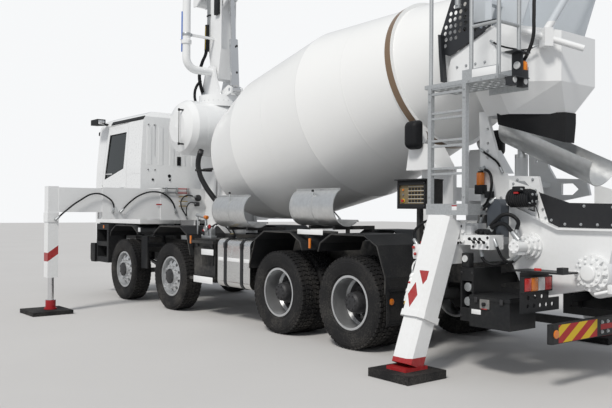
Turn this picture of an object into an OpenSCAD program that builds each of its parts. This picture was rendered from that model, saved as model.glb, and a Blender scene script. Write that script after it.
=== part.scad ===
// Concrete mixer truck with four axles, an inclined mixing drum, a concrete pump with a folding
// placing boom behind the cab, and four outrigger legs.
// Forward is +X, left is +Y and up is +Z. The origin is on the ground under the middle of the
// overall box. Positions along X are counted from the first axle and moved to the origin at the end.

/* [Wheels] */
// Outer radius of every tyre
tyre_r = 530; // [510:5:540]
// Width of one tyre
tyre_w = 310; // [290:5:315]
// Radius of the rim's barrel
rim_r = 300; // [290:5:310]
// Distance from the centre line to the middle of an outer wheel
track_y = 1090; // [1080:5:1100]
// Distance between the two tyres of a twin wheel, middle to middle
twin_pitch = 345; // [335:5:360]
// Distance from the first to the second axle
axle_gap_12 = 1700; // [1650:10:1750]
// Distance from the second to the third axle
axle_gap_23 = 2850; // [2800:10:2900]
// Distance from the third to the fourth axle
axle_gap_34 = 1350; // [1320:10:1400]

/* [Chassis] */
// Outer distance of a frame rail from the centre line
rail_y = 430; // [420:5:440]
// Height of a frame rail
rail_h = 270; // [240:5:300]
// Height of the top of the rails
rail_top = 1060; // [1040:5:1080]
// Width of a rail's flange
rail_w = 80; // [70:5:90]
// Height of the upper body's own frame on the rails
sub_h = 140; // [120:5:160]
// Half of the vehicle's width
half_w = 1250; // [1230:5:1275]

/* [Cab] */
// Front of the cab
cab_front = 1400; // [1380:5:1420]
// Rear wall of the cab, behind the first axle
cab_rear = 470; // [450:5:500]
// Half of the cab's width
cab_y = 1150; // [1140:5:1170]
// Height of the cab's floor
cab_floor = 1330; // [1320:5:1340]
// Height of the roof's edge
cab_roof = 3250; // [3200:10:3300]
// Thickness of the cab's walls and doors
cab_t = 60; // [50:5:70]
// Gap around a door
door_gap = 8; // [6:1:10]

/* [Drum] */
// Tilt of the drum's axis
drum_tilt = 12.68; // [11:0.1:14]
// Distance of the drum's front end behind the first axle
drum_x = 2000; // [1980:10:2020]
// Height of the drum's axis at its front end
drum_z = 2275; // [2250:5:2300]
// Largest radius of the drum
drum_r = 1165; // [1140:5:1175]
// Thickness of the drum's wall
drum_t = 8; // [6:1:10]
// Distance of the riding ring from the drum's front end, along the axis
ring_s = 4310; // [4280:10:4340]
// Radius of the riding ring
ring_r = 910; // [900:5:920]

/* [Boom] */
// Distance of the boom's column behind the first axle
mast_x = 1200; // [1190:5:1210]
// Side of the square column
mast_w = 480; // [460:10:500]
// Height of the top of the column
mast_top = 3430; // [3425:5:3440]
// Height of the first arm's pivot
pivot_z = 3950; // [3940:10:3980]
// Length of the first arm from pivot to pivot
arm_1 = 5900; // [5800:50:6000]
// Length of the second arm from pivot to pivot
arm_2 = 4550; // [4450:50:4600]
// Length of the third arm
arm_3 = 4350; // [4250:50:4400]
// Distance between the centre lines of two folded arms
fold_gap = 420; // [410:5:440]
// Outer radius of the delivery pipe
pipe_r = 66.5; // [60:0.5:70]

/* [Outriggers] */
// Height of the top of the front beams
beam_top = 1920; // [1900:5:1940]
// Height of the front beams' first stage
beam_h = 500; // [480:5:510]
// Width of the front beams' first stage
beam_w = 200; // [190:5:205]
// Distance from the centre line to the outer end of the first stage
stage_1_y = 2090; // [2070:10:2110]
// Distance from the centre line to a front leg
leg_y = 2860; // [2840:10:2880]
// Side of a front leg's square tube
leg_w = 160; // [150:5:170]
// Distance of the left front beam behind the first axle
beam_left_x = 980; // [975:5:985]
// Distance of the right front beam behind the first axle
beam_right_x = 760; // [755:5:765]
// Side of a front pad
pad_w = 600; // [560:10:620]
// Thickness of a pad
pad_t = 60; // [50:5:70]
// Tilt of a rear leg
rear_tilt = 21; // [19:0.5:23]
// Side of a rear leg's sliding tube
rear_leg_w = 250; // [240:5:260]

/* [Hidden] */

$fn = 48;

// Clearances
seat = 0.3;
slide_gap = 5;
pin_gap = 0.05;

// Positions of the axles, from the first axle
axle_x = [0, -axle_gap_12, -axle_gap_12 - axle_gap_23, -axle_gap_12 - axle_gap_23 - axle_gap_34];
axle_z = tyre_r;

// Ends of the vehicle
front_x = cab_front + 40;
tub_rear_x = -8850;
x_mid = (front_x + tub_rear_x) / 2;

white = "white";
dark = [0.08, 0.08, 0.09];
grey = [0.45, 0.46, 0.48];
zinc = [0.62, 0.64, 0.66];
red = [0.7, 0.08, 0.06];
bare = [0.75, 0.76, 0.78];
amber = [0.9, 0.5, 0.05];

module place() {
    translate([-x_mid, 0, 0]) children();
}

// A copy of the children on each side of the centre line
module both() {
    for (m = [0, 1]) mirror([0, m, 0]) children();
}

// Box from its two corners
module block(a, b) {
    translate([min(a[0], b[0]), min(a[1], b[1]), min(a[2], b[2])])
        cube([abs(b[0] - a[0]), abs(b[1] - a[1]), abs(b[2] - a[2])]);
}

// A flat shape in the XZ plane, given as points, from y0 to y1
module side_shape(points, y0, y1) {
    translate([0, y1, 0]) rotate([90, 0, 0]) linear_extrude(y1 - y0) polygon(points);
}

// A cylinder along Y from y0 to y1
module shaft_y(x, z, r, y0, y1) {
    translate([x, y1, z]) rotate([90, 0, 0]) cylinder(r = r, h = y1 - y0);
}

// A cylinder along Z
module shaft_z(x, y, r, z0, z1) {
    translate([x, y, z0]) cylinder(r = r, h = z1 - z0);
}

// A straight round bar between two points
module bar(a, b, r) {
    d = b - a;
    l = norm(d);
    translate(a) rotate([0, acos(d[2] / l), atan2(d[1], d[0])]) cylinder(r = r, h = l, $fn = 24);
}

// Wheels

bead_w = 216;
flange_t = 14;
flange_r = rim_r + 12;
hub_r = 120;
stub_r = 40;
king_y = track_y - 190;

// Section of a tyre as radius and offset from its middle plane
function tyre_section(w) = [
    [rim_r, -bead_w / 2], [flange_r + 3, -bead_w / 2], [flange_r + 8, -bead_w / 2 - 20],
    [rim_r + 70, -w / 2 + 6], [rim_r + 130, -w / 2], [tyre_r - 45, -w / 2 + 8],
    [tyre_r - 12, -w / 2 + 22], [tyre_r, -w / 2 + 46],
    [tyre_r, w / 2 - 46], [tyre_r - 12, w / 2 - 22], [tyre_r - 45, w / 2 - 8],
    [rim_r + 130, w / 2], [rim_r + 70, w / 2 - 6],
    [flange_r + 8, bead_w / 2 + 20], [flange_r + 3, bead_w / 2], [rim_r, bead_w / 2]];

module about_wheel(y) {
    translate([0, y, axle_z]) rotate([-90, 0, 0]) children();
}

module tyre(y) {
    color(dark) about_wheel(y) rotate_extrude($fn = 72) polygon(tyre_section(tyre_w));
}

// Barrel of a rim with both flanges
module rim_barrel() {
    br = rim_r - seat;
    rotate_extrude($fn = 72) polygon([
        [br - 14, -bead_w / 2 - flange_t], [flange_r, -bead_w / 2 - flange_t],
        [flange_r, -bead_w / 2 - seat], [br, -bead_w / 2 - seat],
        [br, bead_w / 2 + seat], [flange_r, bead_w / 2 + seat],
        [flange_r, bead_w / 2 + flange_t], [br - 14, bead_w / 2 + flange_t]]);
}

module hand_holes(n, r, hole, z0, z1) {
    for (i = [0:n - 1]) rotate([0, 0, (i + 0.5) * 360 / n])
        translate([r, 0, z0]) cylinder(r = hole, h = z1 - z0);
}

// Steered wheel: the disc bulges outwards
module rim_front() {
    br = rim_r - 14;
    color(bare) about_wheel(track_y) difference() {
        union() {
            rim_barrel();
            rotate_extrude($fn = 72) polygon([
                [br + 2, 30], [br + 2, 46], [235, 88], [190, 104], [hub_r + 8, 108],
                [hub_r - 6, 150], [70, 162], [0, 162], [0, 150], [60, 148],
                [60, 20], [stub_r + pin_gap, 20], [stub_r + pin_gap, -100], [195, -100],
                [205, -90], [205, 30], [130, 92], [190, 88], [228, 74]]);
        }
        hand_holes(10, 222, 27, 40, 130);
    }
}

// Twin wheel: both discs meet between the tyres and the hub comes out through them
module rim_twin() {
    br = rim_r - 14;
    yd = -twin_pitch / 2;
    color(bare) about_wheel(track_y) difference() {
        union() {
            rim_barrel();
            translate([0, 0, -twin_pitch]) rim_barrel();
            rotate_extrude($fn = 72) polygon([
                [br + 2, yd + 90], [br + 2, yd + 76], [258, yd + 12], [258, yd - 12],
                [br + 2, yd - 76], [br + 2, yd - 90], [236, yd - 12], [205, yd - 12],
                [205, yd - 190], [stub_r + pin_gap, yd - 190], [stub_r + pin_gap, 60],
                [0, 60], [0, 100], [90, 100], [hub_r - 12, 80], [hub_r, 30],
                [hub_r + 20, yd + 22], [205, yd + 12], [236, yd + 12]]);
        }
        hand_holes(10, 228, 24, yd - 14, yd + 14);
    }
}

module wheel_tyre(i, side) {
    place() translate([axle_x[i], 0, 0]) mirror([0, side, 0]) {
        tyre(track_y);
        if (i > 1) tyre(track_y - twin_pitch);
    }
}

module wheel_rim(i, side) {
    place() translate([axle_x[i], 0, 0]) mirror([0, side, 0])
        if (i > 1) rim_twin();
        else rim_front();
}

// Steering knuckle: fork with its king pin, stub axle and steering arm
king_r = 22;
eye_z0 = axle_z - 80;
eye_z1 = axle_z + 80;
lug_t = 36;

module knuckle(i, side) {
    place() translate([axle_x[i], 0, 0]) mirror([0, side, 0]) color(grey) {
        shaft_z(0, king_y, king_r, eye_z0 - slide_gap - lug_t, eye_z1 + slide_gap + lug_t);
        for (z = [eye_z0 - slide_gap - lug_t, eye_z1 + slide_gap]) {
            shaft_z(0, king_y, 46, z, z + lug_t);
            block([-46, king_y, z], [46, king_y + 76, z + lug_t]);
        }
        block([-60, king_y + 60, eye_z0 - slide_gap - lug_t], [60, king_y + 80, eye_z1 + slide_gap + lug_t]);
        shaft_y(0, axle_z, stub_r, king_y + 70, track_y + 20 - 4);
        block([-190, king_y - 40, eye_z0 - slide_gap - lug_t], [-20, king_y + 10, eye_z0 - slide_gap - 6]);
    }
}

// Axles and springs

spring_y = rail_y - rail_w / 2;
leaf_n = 4;

// One leaf as a shallow arc from -l/2 to l/2
module leaf(l, rise, t, w) {
    n = 10;
    pts = [for (k = [0:n]) let (u = -1 + 2 * k / n) [u * l / 2, rise * u * u]];
    rotate([90, 0, 0]) translate([0, 0, -w / 2]) linear_extrude(w)
        polygon(concat(pts, [for (k = [n:-1:0]) pts[k] + [0, t]]));
}

module spring_pack(x, z, l, t) {
    for (s = [-1, 1]) translate([x, s * spring_y, z])
        for (k = [0:leaf_n - 1]) translate([0, 0, k * t]) leaf(l * (0.55 + 0.15 * k), 10 + 70 * pow(0.55 + 0.15 * k, 2), t + 0.5, 74);
}

module front_axle(x) {
    color(grey) {
        block([x - 50, -king_y + 40, axle_z - 75], [x + 50, king_y - 40, axle_z]);
        for (s = [-1, 1]) difference() {
            shaft_z(x, s * king_y, 50, eye_z0, eye_z1);
            shaft_z(x, s * king_y, king_r + pin_gap, eye_z0 - 1, eye_z1 + 1);
        }
    }
    color(dark) spring_pack(x, axle_z, 1480, 14);
    color(dark) for (s = [-1, 1], e = [-1, 1])
        block([x + e * 700 - 40, s * spring_y - 30, axle_z + 110], [x + e * 700 + 40, s * spring_y + 30, rail_top - rail_h]);
}

module rear_axle(x) {
    y_in = track_y - twin_pitch / 2 - 190;
    color(grey) {
        shaft_y(x, axle_z, 75, -y_in + 4, y_in - 4);
        shaft_y(x, axle_z, stub_r, -track_y - 56, track_y + 56);
        intersection() {
            translate([x, 0, axle_z]) sphere(r = 235);
            block([x - 235, -190, axle_z - 220], [x + 235, 190, axle_z + 220]);
        }
        for (s = [-1, 1]) block([x - 50, s * spring_y - 40, axle_z + 30], [x + 50, s * spring_y + 40, axle_z + 206]);
    }
}

module axles() {
    place() {
        front_axle(axle_x[0]);
        front_axle(axle_x[1]);
        rear_axle(axle_x[2]);
        rear_axle(axle_x[3]);
        mid = (axle_x[2] + axle_x[3]) / 2;
        color(dark) {
            spring_pack(mid, axle_z + 74, 1500, 20);
            for (s = [-1, 1]) {
                block([mid - 110, s * spring_y - 40, axle_z + 150], [mid + 110, s * spring_y + 40, rail_top - rail_h]);
            }
        }
    }
}

// Frame

frame_rear = -7700;
sub_z = rail_top + sub_h;
cross_x = [900, -2500, -3400, -4100, -5225, -6700, -7600];

module rail() {
    rail_bottom = rail_top - rail_h;
    difference() {
        block([frame_rear, rail_y - rail_w, rail_bottom], [1180, rail_y, rail_top]);
        block([frame_rear - 1, rail_y - rail_w - 1, rail_bottom + 10], [1181, rail_y - 10, rail_top - 10]);
    }
    block([rear_x + 120, rail_y - rail_w, rail_top], [-1480, rail_y, sub_z]);
}

module chassis_frame() {
    place() color(dark) {
        both() rail();
        for (x = cross_x)
            block([x - 50, -rail_y + 5, rail_top - rail_h + 40], [x + 50, rail_y - 5, rail_top - 40]);
        // Carriers of the cab's tilt pivot and of its rear rests
        both() {
            difference() {
                side_shape([[1060, rail_top - 200], [1400, tilt_z - 60], [1430, tilt_z], [1400, tilt_z + 38],
                    [1330, tilt_z + 38], [1060, rail_top - 40]], rail_y - 30, rail_y - 10);
                shaft_y(tilt_x, tilt_z, 20 + pin_gap, rail_y - 40, rail_y + 1);
            }
            block([-440, rail_y - 80, rail_top], [-360, rail_y, cab_floor - seat]);
        }
        // Arms that carry the side boxes, mudguards and the fuel tank
        both() for (x = [-2450, -2900, -4030, -5225, -6640])
            block([x - 25, rail_y - 10, rail_top - 190], [x + 25, rail_y + 110, rail_top - 130]);
        both() for (x = [-3290, -3720])
            block([x - 20, rail_y - 10, rail_top - 190], [x + 20, rail_y + 102 - seat, rail_top - 130]);
        // Brackets of the chute extensions, on the left
        for (i = [0, 1], dx = [160, 620]) {
            x = ext_x[i] + dx;
            top = ext_z[i] - ext_r - seat;
            block([x, rail_y - 20, sub_z - 40], [x + 40, rail_y + 20, top]);
            block([x, rail_y + 19, top - 45], [x + 40, ext_y + 60, top]);
        }
        // Bracket of the control box
        block([-6830, rail_y - 20, sub_z - 40], [-6790, 1060, sub_z]);
        block([-6830, 1000, sub_z - 1], [-6790, 1060, 1600 - seat]);
        // Seats of the pump's hopper
        both() block([frame_rear + 100, rail_y - rail_w, rail_top - 1], [-7750 + seat, rail_y, 1250]);
    }
}

module engine_block() {
    place() color(grey) difference() {
        union() {
            block([-760, -300, 620], [640, 300, 1250]);
            block([-1500, -210, 640], [-755, 210, 1020]);
            block([-770, -rail_y + 10 + seat, rail_top - 200], [560, rail_y - 10 - seat, rail_top - 80]);
        }
        block([-1501, -211, 900], [-1480, 211, 1021]);
    }
}

// Cab

tilt_x = 1380;
tilt_z = 960;
nose_z = 1010;

// Heights between which the front slopes back
screen_foot = 1990;
screen_head = cab_roof - 170;

cab_side = [[-cab_rear, cab_floor], [1235, cab_floor], [1250, nose_z], [cab_front, nose_z],
    [cab_front + 20, 1500], [cab_front + 20, screen_foot], [cab_front - 60, screen_head],
    [cab_front - 130, cab_roof - 20], [cab_front - 330, cab_roof + 30], [200, cab_roof + 60],
    [-cab_rear + 80, cab_roof + 40], [-cab_rear, cab_roof - 60]];

// Front face of the cab at a height in the windscreen's slope
function screen_x(z) = cab_front + 20 - 80 * (z - screen_foot) / (screen_head - screen_foot);

// Half of the cab seen from the front
cab_face = [[0, 900], [cab_y, 900], [cab_y, 2300], [cab_y - 45, cab_roof - 120], [cab_y - 110, cab_roof - 20],
    [cab_y - 260, cab_roof + 45], [0, cab_roof + 80]];

module cab_outer(inset) {
    intersection() {
        translate([0, cab_y + 10, 0]) rotate([90, 0, 0]) linear_extrude(2 * cab_y + 20)
            offset(delta = -inset) polygon(cab_side);
        translate([-cab_rear - 10, 0, 0]) rotate([90, 0, 90]) linear_extrude(cab_front + cab_rear + 100)
            offset(delta = -inset)
                polygon(concat(cab_face, [for (k = [len(cab_face) - 1:-1:0]) [-cab_face[k][0], cab_face[k][1]]]));
    }
}

// Door's outline and window in side view
door_front = 1115;
door_rear = 100;
door_shape = [[door_rear, cab_floor + 90], [1060, cab_floor + 90], [door_front, cab_floor + 190],
    [door_front, 2060], [960, cab_roof - 190], [910, cab_roof - 140], [door_rear, cab_roof - 130]];
window_shape = [[220, 2310], [1030, 2130], [880, cab_roof - 295], [170, cab_roof - 288]];

module cab_side_cut(points, grow, y0, y1) {
    translate([0, y1, 0]) rotate([90, 0, 0]) linear_extrude(y1 - y0) offset(delta = grow) polygon(points);
}

screen_y = 1010;
screen_low = 2060;
screen_high = cab_roof - 240;

// Hinge barrels of a door, on one side of the pin's joint line
hinge_x = door_front + 3;
hinge_y = cab_y + 16;
hinge_z = [1640, 1960];

module cab_shell() {
    place() color(white) {
        difference() {
            cab_outer(0);
            cab_outer(cab_t);
            both() cab_side_cut(door_shape, door_gap, cab_y - cab_t - 60, cab_y + 20);
            block([cab_front - 190, -screen_y, screen_low], [cab_front + 100, screen_y, screen_high]);
            // Slot in the rear wall, on the left
            block([-cab_rear - 1, 860, 2500], [-cab_rear + 20, 890, cab_roof - 190]);
            // Opening of the grille
            for (z = [1130, 1300, 1470]) block([cab_front - 100, -620, z], [cab_front + 100, 620, z + 90]);
        }
        both() {
            for (z = hinge_z) {
                difference() {
                    union() {
                        shaft_z(hinge_x, hinge_y, 14, z + 40 + seat, z + 80);
                        block([hinge_x, cab_y - 4, z + 40 + seat], [hinge_x + 40, hinge_y, z + 80]);
                    }
                }
                shaft_z(hinge_x, hinge_y, 6, z + 4, z + 60);
            }
            // Ears of the tilt pivot
            side_shape([[1300, nose_z + 6], [1340, tilt_z], [1380, tilt_z - 35], [1405, tilt_z], [1400, nose_z + 6]],
                rail_y - 10 + seat, rail_y + 12);
            shaft_y(tilt_x, tilt_z, 20, rail_y - 36, rail_y + 12);
        }
    }
}

module cab_door(side) {
    place() mirror([0, side, 0]) color(white) {
        difference() {
            intersection() {
                cab_outer(0);
                cab_side_cut(door_shape, 0, cab_y - cab_t - 100, cab_y + 20);
            }
            cab_outer(cab_t);
            cab_side_cut(window_shape, 0, cab_y - cab_t - 100, cab_y + 20);
        }
        for (z = hinge_z) difference() {
            union() {
                shaft_z(hinge_x, hinge_y, 14, z, z + 40);
                block([hinge_x - 44, cab_y - 4, z], [hinge_x, hinge_y, z + 40]);
            }
            shaft_z(hinge_x, hinge_y, 6 + pin_gap, z - 1, z + 41);
        }
        // Handle
        block([door_rear + 40, cab_y - 2, 1950], [door_rear + 190, cab_y + 22, 1985]);
    }
}

module door_glass(side) {
    place() mirror([0, side, 0]) color([0.2, 0.25, 0.28, 0.5])
        intersection() {
            difference() {
                cab_outer(20);
                cab_outer(28);
            }
            cab_side_cut(window_shape, 0, cab_y - 160, cab_y + 20);
        }
}

module windscreen() {
    place() color([0.2, 0.25, 0.28, 0.5]) intersection() {
        difference() {
            cab_outer(18);
            cab_outer(26);
        }
        block([cab_front - 190, -screen_y, screen_low], [cab_front + 100, screen_y, screen_high]);
    }
}

module visor(y0, y1) {
    low = cab_roof - 235;
    high = cab_roof - 175;
    side_shape([[screen_x(low) + seat, low], [cab_front + 60, low - 25], [cab_front + 60, high - 25],
        [screen_x(high) + seat, high]], y0, y1);
}

module cab_trim() {
    fz = cab_floor + cab_t;
    place() {
        // Seats, dashboard and steering wheel
        color(dark) {
            both() {
                block([-60, 330, fz], [440, 830, fz + 380]);
                side_shape([[-60, fz + 380], [60, fz + 380], [-20, fz + 1150], [-130, fz + 1150]], 330, 830);
            }
            side_shape([[980, fz + 640], [1290, fz + 640], [1290, fz + 720], [1060, fz + 760], [960, fz + 700]], -1000, 1000);
            block([1240, -1000, fz], [1290, 1000, fz + 650]);
            translate([880, 560, fz + 760]) rotate([0, -60, 0]) rotate_extrude($fn = 40) translate([210, 0]) circle(r = 15);
            translate([880, 560, fz + 760]) rotate([0, -60, 0]) block([-14, -205, -10], [14, 205, 10]);
            bar([880, 560, fz + 760], [1030, 560, fz + 680], 25);
        }
        // Sun visor's strip, mirror pods, wipers' panel
        color(dark) {
            both() {
                visor(500, cab_y - 60);
                hull() {
                    translate([940, cab_y + 130, cab_roof - 60]) cube([90, 160, 110], center = true);
                    translate([1120, cab_y + 150, cab_roof - 55]) cube([150, 120, 100], center = true);
                }
                difference() {
                    bar([1060, cab_y - 110, cab_roof - 85], [1060, cab_y + 120, cab_roof - 70], 22);
                    cab_outer(-seat);
                }
            }
            visor(-500, 500);
        }
    }
}

module front_bumper() {
    place() {
        color(dark) {
            difference() {
                side_shape([[1240, 590], [1400, 590], [1440, 640], [1440, 900], [1420, 938], [1240, 938]], -half_w + 10, half_w - 10);
                side_shape([[1230, 600], [1380, 600], [1400, 640], [1400, 880], [1380, 928], [1230, 928]], -half_w + 30, half_w - 30);
                both() block([1380, 760, 700], [1450, 1150, 840]);
                // Slots for the cab's tilt pivots
                both() block([1230, rail_y - 32, 870], [1450, rail_y + 17, 940]);
                translate([1380, 0, 700]) rotate([0, 90, 0]) cylinder(r = 30, h = 100);
            }
            // Towing socket
            difference() {
                translate([1300, 0, 700]) rotate([0, 90, 0]) cylinder(r = 45, h = 134);
                translate([1290, 0, 700]) rotate([0, 90, 0]) cylinder(r = 30, h = 200);
            }
            block([1180, -80, 640], [1301, 80, 760]);
            both() block([1100, rail_y - 70, 800], [1402, rail_y - 40, 880]);
            // Corner steps ahead of the front wheel
            both() difference() {
                block([690, 860, 600], [1222, cab_y + 60, cab_floor - 20]);
                block([760, 900, 700], [1180, half_w, 900]);
                block([760, 900, 980], [1180, half_w, 1200]);
            }
            both() block([1200, 870, 595], [1250, 1200, 640]);
        }
        // Head lamps
        color([0.85, 0.85, 0.85]) both() block([1402, 760 + seat, 700 + seat], [1436, 1150 - seat, 840 - seat]);
    }
}

// Mudguards

guard_t = 12;
guard_low = 560;
guard_top = [1295, 1310, 1300, 1300];
function guard_line(r, top) = [[r, guard_low], [r, axle_z + 330], [r - 130, top - 110], [r - 330, top],
    [-r + 330, top], [-r + 130, top - 110], [-r, axle_z + 330], [-r, guard_low]];

// A bent sheet over a wheel
module guard(x, r, top, low_f, low_r, y0, y1) {
    outer = guard_line(r + guard_t, top + guard_t);
    inner = guard_line(r, top);
    difference() {
        side_shape([for (p = concat(outer, [for (k = [7:-1:0]) inner[k]])) p + [x, 0]], y0, y1);
        block([x, y0 - 1, guard_low - 1], [x + r + 100, y1 + 1, low_f]);
        block([x - r - 100, y0 - 1, guard_low - 1], [x, y1 + 1, low_r]);
    }
}

panel_left_x = -600;
panel_right_x = -880;
panel_w = 225;
panel_y = 1185;
panel_t = 25;
panel_low = 590;
panel_high = 1130;

module mudguards() {
    place() color(dark) both() {
        guard(axle_x[0], 660, guard_top[0], 1100, 1150, 560, half_w - 20);
        guard(axle_x[1], 660, guard_top[1], 1150, 890, 560, half_w - 10);
        guard(axle_x[2], 610, guard_top[2], 800, 1090, 560, half_w - 5);
        guard(axle_x[3], 610, guard_top[3], 1090, 680, 560, half_w - 5);
        // Carriers
        for (i = [0:3]) block([axle_x[i] - 30, rail_y, guard_top[i] - 30], [axle_x[i] + 30, 900, guard_top[i] + 1]);
        for (i = [0:3]) block([axle_x[i] - 30, rail_y, rail_top - 120], [axle_x[i] + 30, rail_y + 30, guard_top[i] - 20]);
    }
    // Panels between the front wheels, each beside its own outrigger leg
    place() color(dark) {
        block([panel_left_x - panel_w, panel_y - panel_t, panel_low], [panel_left_x, panel_y, panel_high]);
        block([panel_right_x - panel_w, panel_t - panel_y, panel_low], [panel_right_x, -panel_y, panel_high]);
        for (q = [[panel_left_x, 1], [panel_right_x, -1]])
            block([q[0] - panel_w + 20, q[1] * rail_y, panel_high - 180],
                [q[0] - panel_w + 60, q[1] * (panel_y - panel_t + 1), panel_high - 120]);
    }
}

// Fuel tank and boxes on the frame's sides

module fuel_tank() {
    x0 = -3915;
    x1 = -3100;
    place() {
        color(bare) translate([x0, 0, 0]) rotate([90, 0, 90]) linear_extrude(x1 - x0)
            translate([880, 830]) offset(r = 90) square([500, 500], center = true);
        color(dark) for (x = [x0 + 170, x1 - 230]) translate([x, 0, 0]) rotate([90, 0, 90]) linear_extrude(60)
            translate([880, 830]) difference() {
                offset(r = 98) square([500, 500], center = true);
                offset(r = 90 + 0.1) square([500, 500], center = true);
            }
    }
}

box_rib_n = 9;

module side_boxes() {
    place() {
        color(dark) {
            // Battery box on the left with its ribbed cover and two steps
            block([-2970, 540, 520], [-2370, 1180, 1150]);
            for (k = [0:box_rib_n - 1]) block([-2925 + k * 36, 1179, 760], [-2907 + k * 36, 1196, 1040]);
            for (z = [540, 1085]) difference() {
                block([-3000, 1179, z], [-2340, 1242, z + 40]);
                for (k = [0:5]) block([-2960 + k * 100, 1190, z - 1], [-2900 + k * 100, 1230, z + 41]);
            }
            // Right side: air tanks' box and battery box
            mirror([0, 1, 0]) {
                block([-3050, 540, 520], [-2370, 1200, 1150]);
                block([-3915, 532, 600], [-3150, 1150, 1120]);
                for (k = [0:box_rib_n - 1]) block([-3000 + k * 60, 1199, 640], [-2975 + k * 60, 1215, 1040]);
            }
        }
        // Control box at the rear left, with its recessed panel and rain cover
        color(dark) {
            difference() {
                block([-7010, 900, 1600], [-6590, 1150, 1900]);
                block([-6980, 1135, 1650], [-6620, 1151, 1850]);
            }
            block([-7015, 895, 1899], [-6585, 1190, 1912]);
        }
    }
}

// Front outriggers and the boom's column

box_y = 1090;
wall = 12;
chan_top = beam_top + slide_gap;
chan_low = beam_top - beam_h - slide_gap;
box_front = -beam_right_x + beam_w / 2 + slide_gap + wall;
box_back = -beam_left_x - beam_w / 2 - slide_gap - wall;
function beam_x(side) = side == 0 ? -beam_left_x : -beam_right_x;
mast_rear = -mast_x - mast_w / 2;
mast_front = -mast_x + mast_w / 2;

module boom_pedestal() {
    place() color(white) {
        // Fixed box of the front beams
        difference() {
            block([box_back, -box_y, chan_low - wall], [box_front, box_y, chan_top + wall]);
            for (side = [0, 1])
                block([beam_x(side) - beam_w / 2 - slide_gap, -box_y - 1, chan_low],
                    [beam_x(side) + beam_w / 2 + slide_gap, box_y + 1, chan_top]);
        }
        // Slide pads at the mouths
        for (side = [0, 1]) mirror([0, side, 0])
            block([beam_x(side) - 60, box_y - 120, chan_low], [beam_x(side) + 60, box_y, chan_low + slide_gap - seat]);
        // Column
        difference() {
            union() {
                block([mast_rear, -mast_w / 2, chan_top + wall - 1], [mast_front, mast_w / 2, mast_top - 80]);
                block([mast_rear, -mast_w / 2, sub_z - 60], [box_back + 1, mast_w / 2, chan_top + wall]);
                translate([-mast_x, 0, mast_top - 90]) cylinder(r = 400, h = 90 - seat);
            }
            block([mast_rear + 20, -mast_w / 2 + 20, sub_z - 70], [box_back - 19, mast_w / 2 - 20, chan_top + wall + 40]);
            block([mast_rear + 20, -mast_w / 2 + 20, chan_top + wall + 30], [mast_front - 20, mast_w / 2 - 20, mast_top - 100]);
        }
        // Feet on the frame
        both() {
            block([-1480 + seat, rail_y - rail_w, rail_top], [box_front, rail_y + 14, rail_top + 30]);
            block([box_back, rail_y - rail_w, rail_top + 29], [box_front, rail_y - rail_w + 20, chan_low - wall + 1]);
            block([box_back, rail_y, rail_top + 29], [box_front, rail_y + 14, chan_low - wall + 1]);
            block([mast_rear, mast_w / 2 - 20, rail_top + 29], [mast_rear + 160, rail_y + 14, sub_z + 60]);
        }
    }
}

stage_t = 10;
stage_2_top = beam_top - stage_t - slide_gap;
stage_2_low = 1530;
stage_2_w = beam_w - 2 * stage_t - 2 * slide_gap;
stage_1_in = 450;
stage_2_in = 1400;

// Hollow box beam along Y with open ends
module beam(x, w, z0, z1, y0, y1, t) {
    difference() {
        block([x - w / 2, y0, z0], [x + w / 2, y1, z1]);
        block([x - w / 2 + t, y0 - 1, z0 + t], [x + w / 2 - t, y1 + 1, z1 - t]);
    }
}

module stage_1(side) {
    x = beam_x(side);
    z0 = beam_top - beam_h;
    place() mirror([0, side, 0]) color(white) {
        beam(x, beam_w, z0, beam_top, stage_1_in, stage_1_y, stage_t);
        // Raised guide at the mouth that carries the second stage
        block([x - 50, stage_1_y - 150, z0 + stage_t - 1], [x + 50, stage_1_y - 5, stage_2_low - seat]);
    }
}

leg_top = 1920;
leg_low = 540;

module stage_2(side) {
    x = beam_x(side);
    place() mirror([0, side, 0]) color(white) {
        beam(x, stage_2_w, stage_2_low, stage_2_top, stage_2_in, leg_y - leg_w / 2, stage_t);
        // Leg's outer tube with its collar
        difference() {
            union() {
                block([x - leg_w / 2, leg_y - leg_w / 2, leg_low], [x + leg_w / 2, leg_y + leg_w / 2, leg_top]);
                block([x - leg_w / 2 - 10, leg_y - leg_w / 2 - 0, 1380], [x + leg_w / 2 + 10, leg_y + leg_w / 2 + 10, 1520]);
            }
            shaft_z(x, leg_y, 62, leg_low + 60, leg_top - 20);
            shaft_z(x, leg_y, 45 + pin_gap, leg_low - 1, leg_low + 61);
        }
    }
}

module front_leg(side) {
    x = beam_x(side);
    place() mirror([0, side, 0]) {
        color(bare) shaft_z(x, leg_y, 45, 150, 1400);
        color(red) {
            difference() {
                shaft_z(x, leg_y, 75, 80, 200);
                shaft_z(x, leg_y, 45, 150, 201);
            }
            shaft_z(x, leg_y, 95, pad_t, 82);
        }
    }
}

// Rear outriggers: a sleeve fixed to the frame and a leg that slides in it along its slope

rear_x = -7280;
rear_top_y = 1180;
rear_top_z = 1490;
rear_sleeve_l = 1030;
rear_sleeve_w = rear_leg_w + 2 * slide_gap + 24;
rear_leg_low = 1395;
rear_pad_w = 520;

// Runs the children's -Z down along a rear leg
module along_rear_leg() {
    translate([rear_x, rear_top_y, rear_top_z]) rotate([rear_tilt, 0, 0]) children();
}

module chamfered(w, z0, z1) {
    c = w * 0.16;
    h = w / 2;
    translate([0, 0, z0]) linear_extrude(z1 - z0)
        polygon([[-h, -h + c], [-h + c, -h], [h - c, -h], [h, -h + c], [h, h - c], [h - c, h], [-h + c, h], [-h, h - c]]);
}

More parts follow.
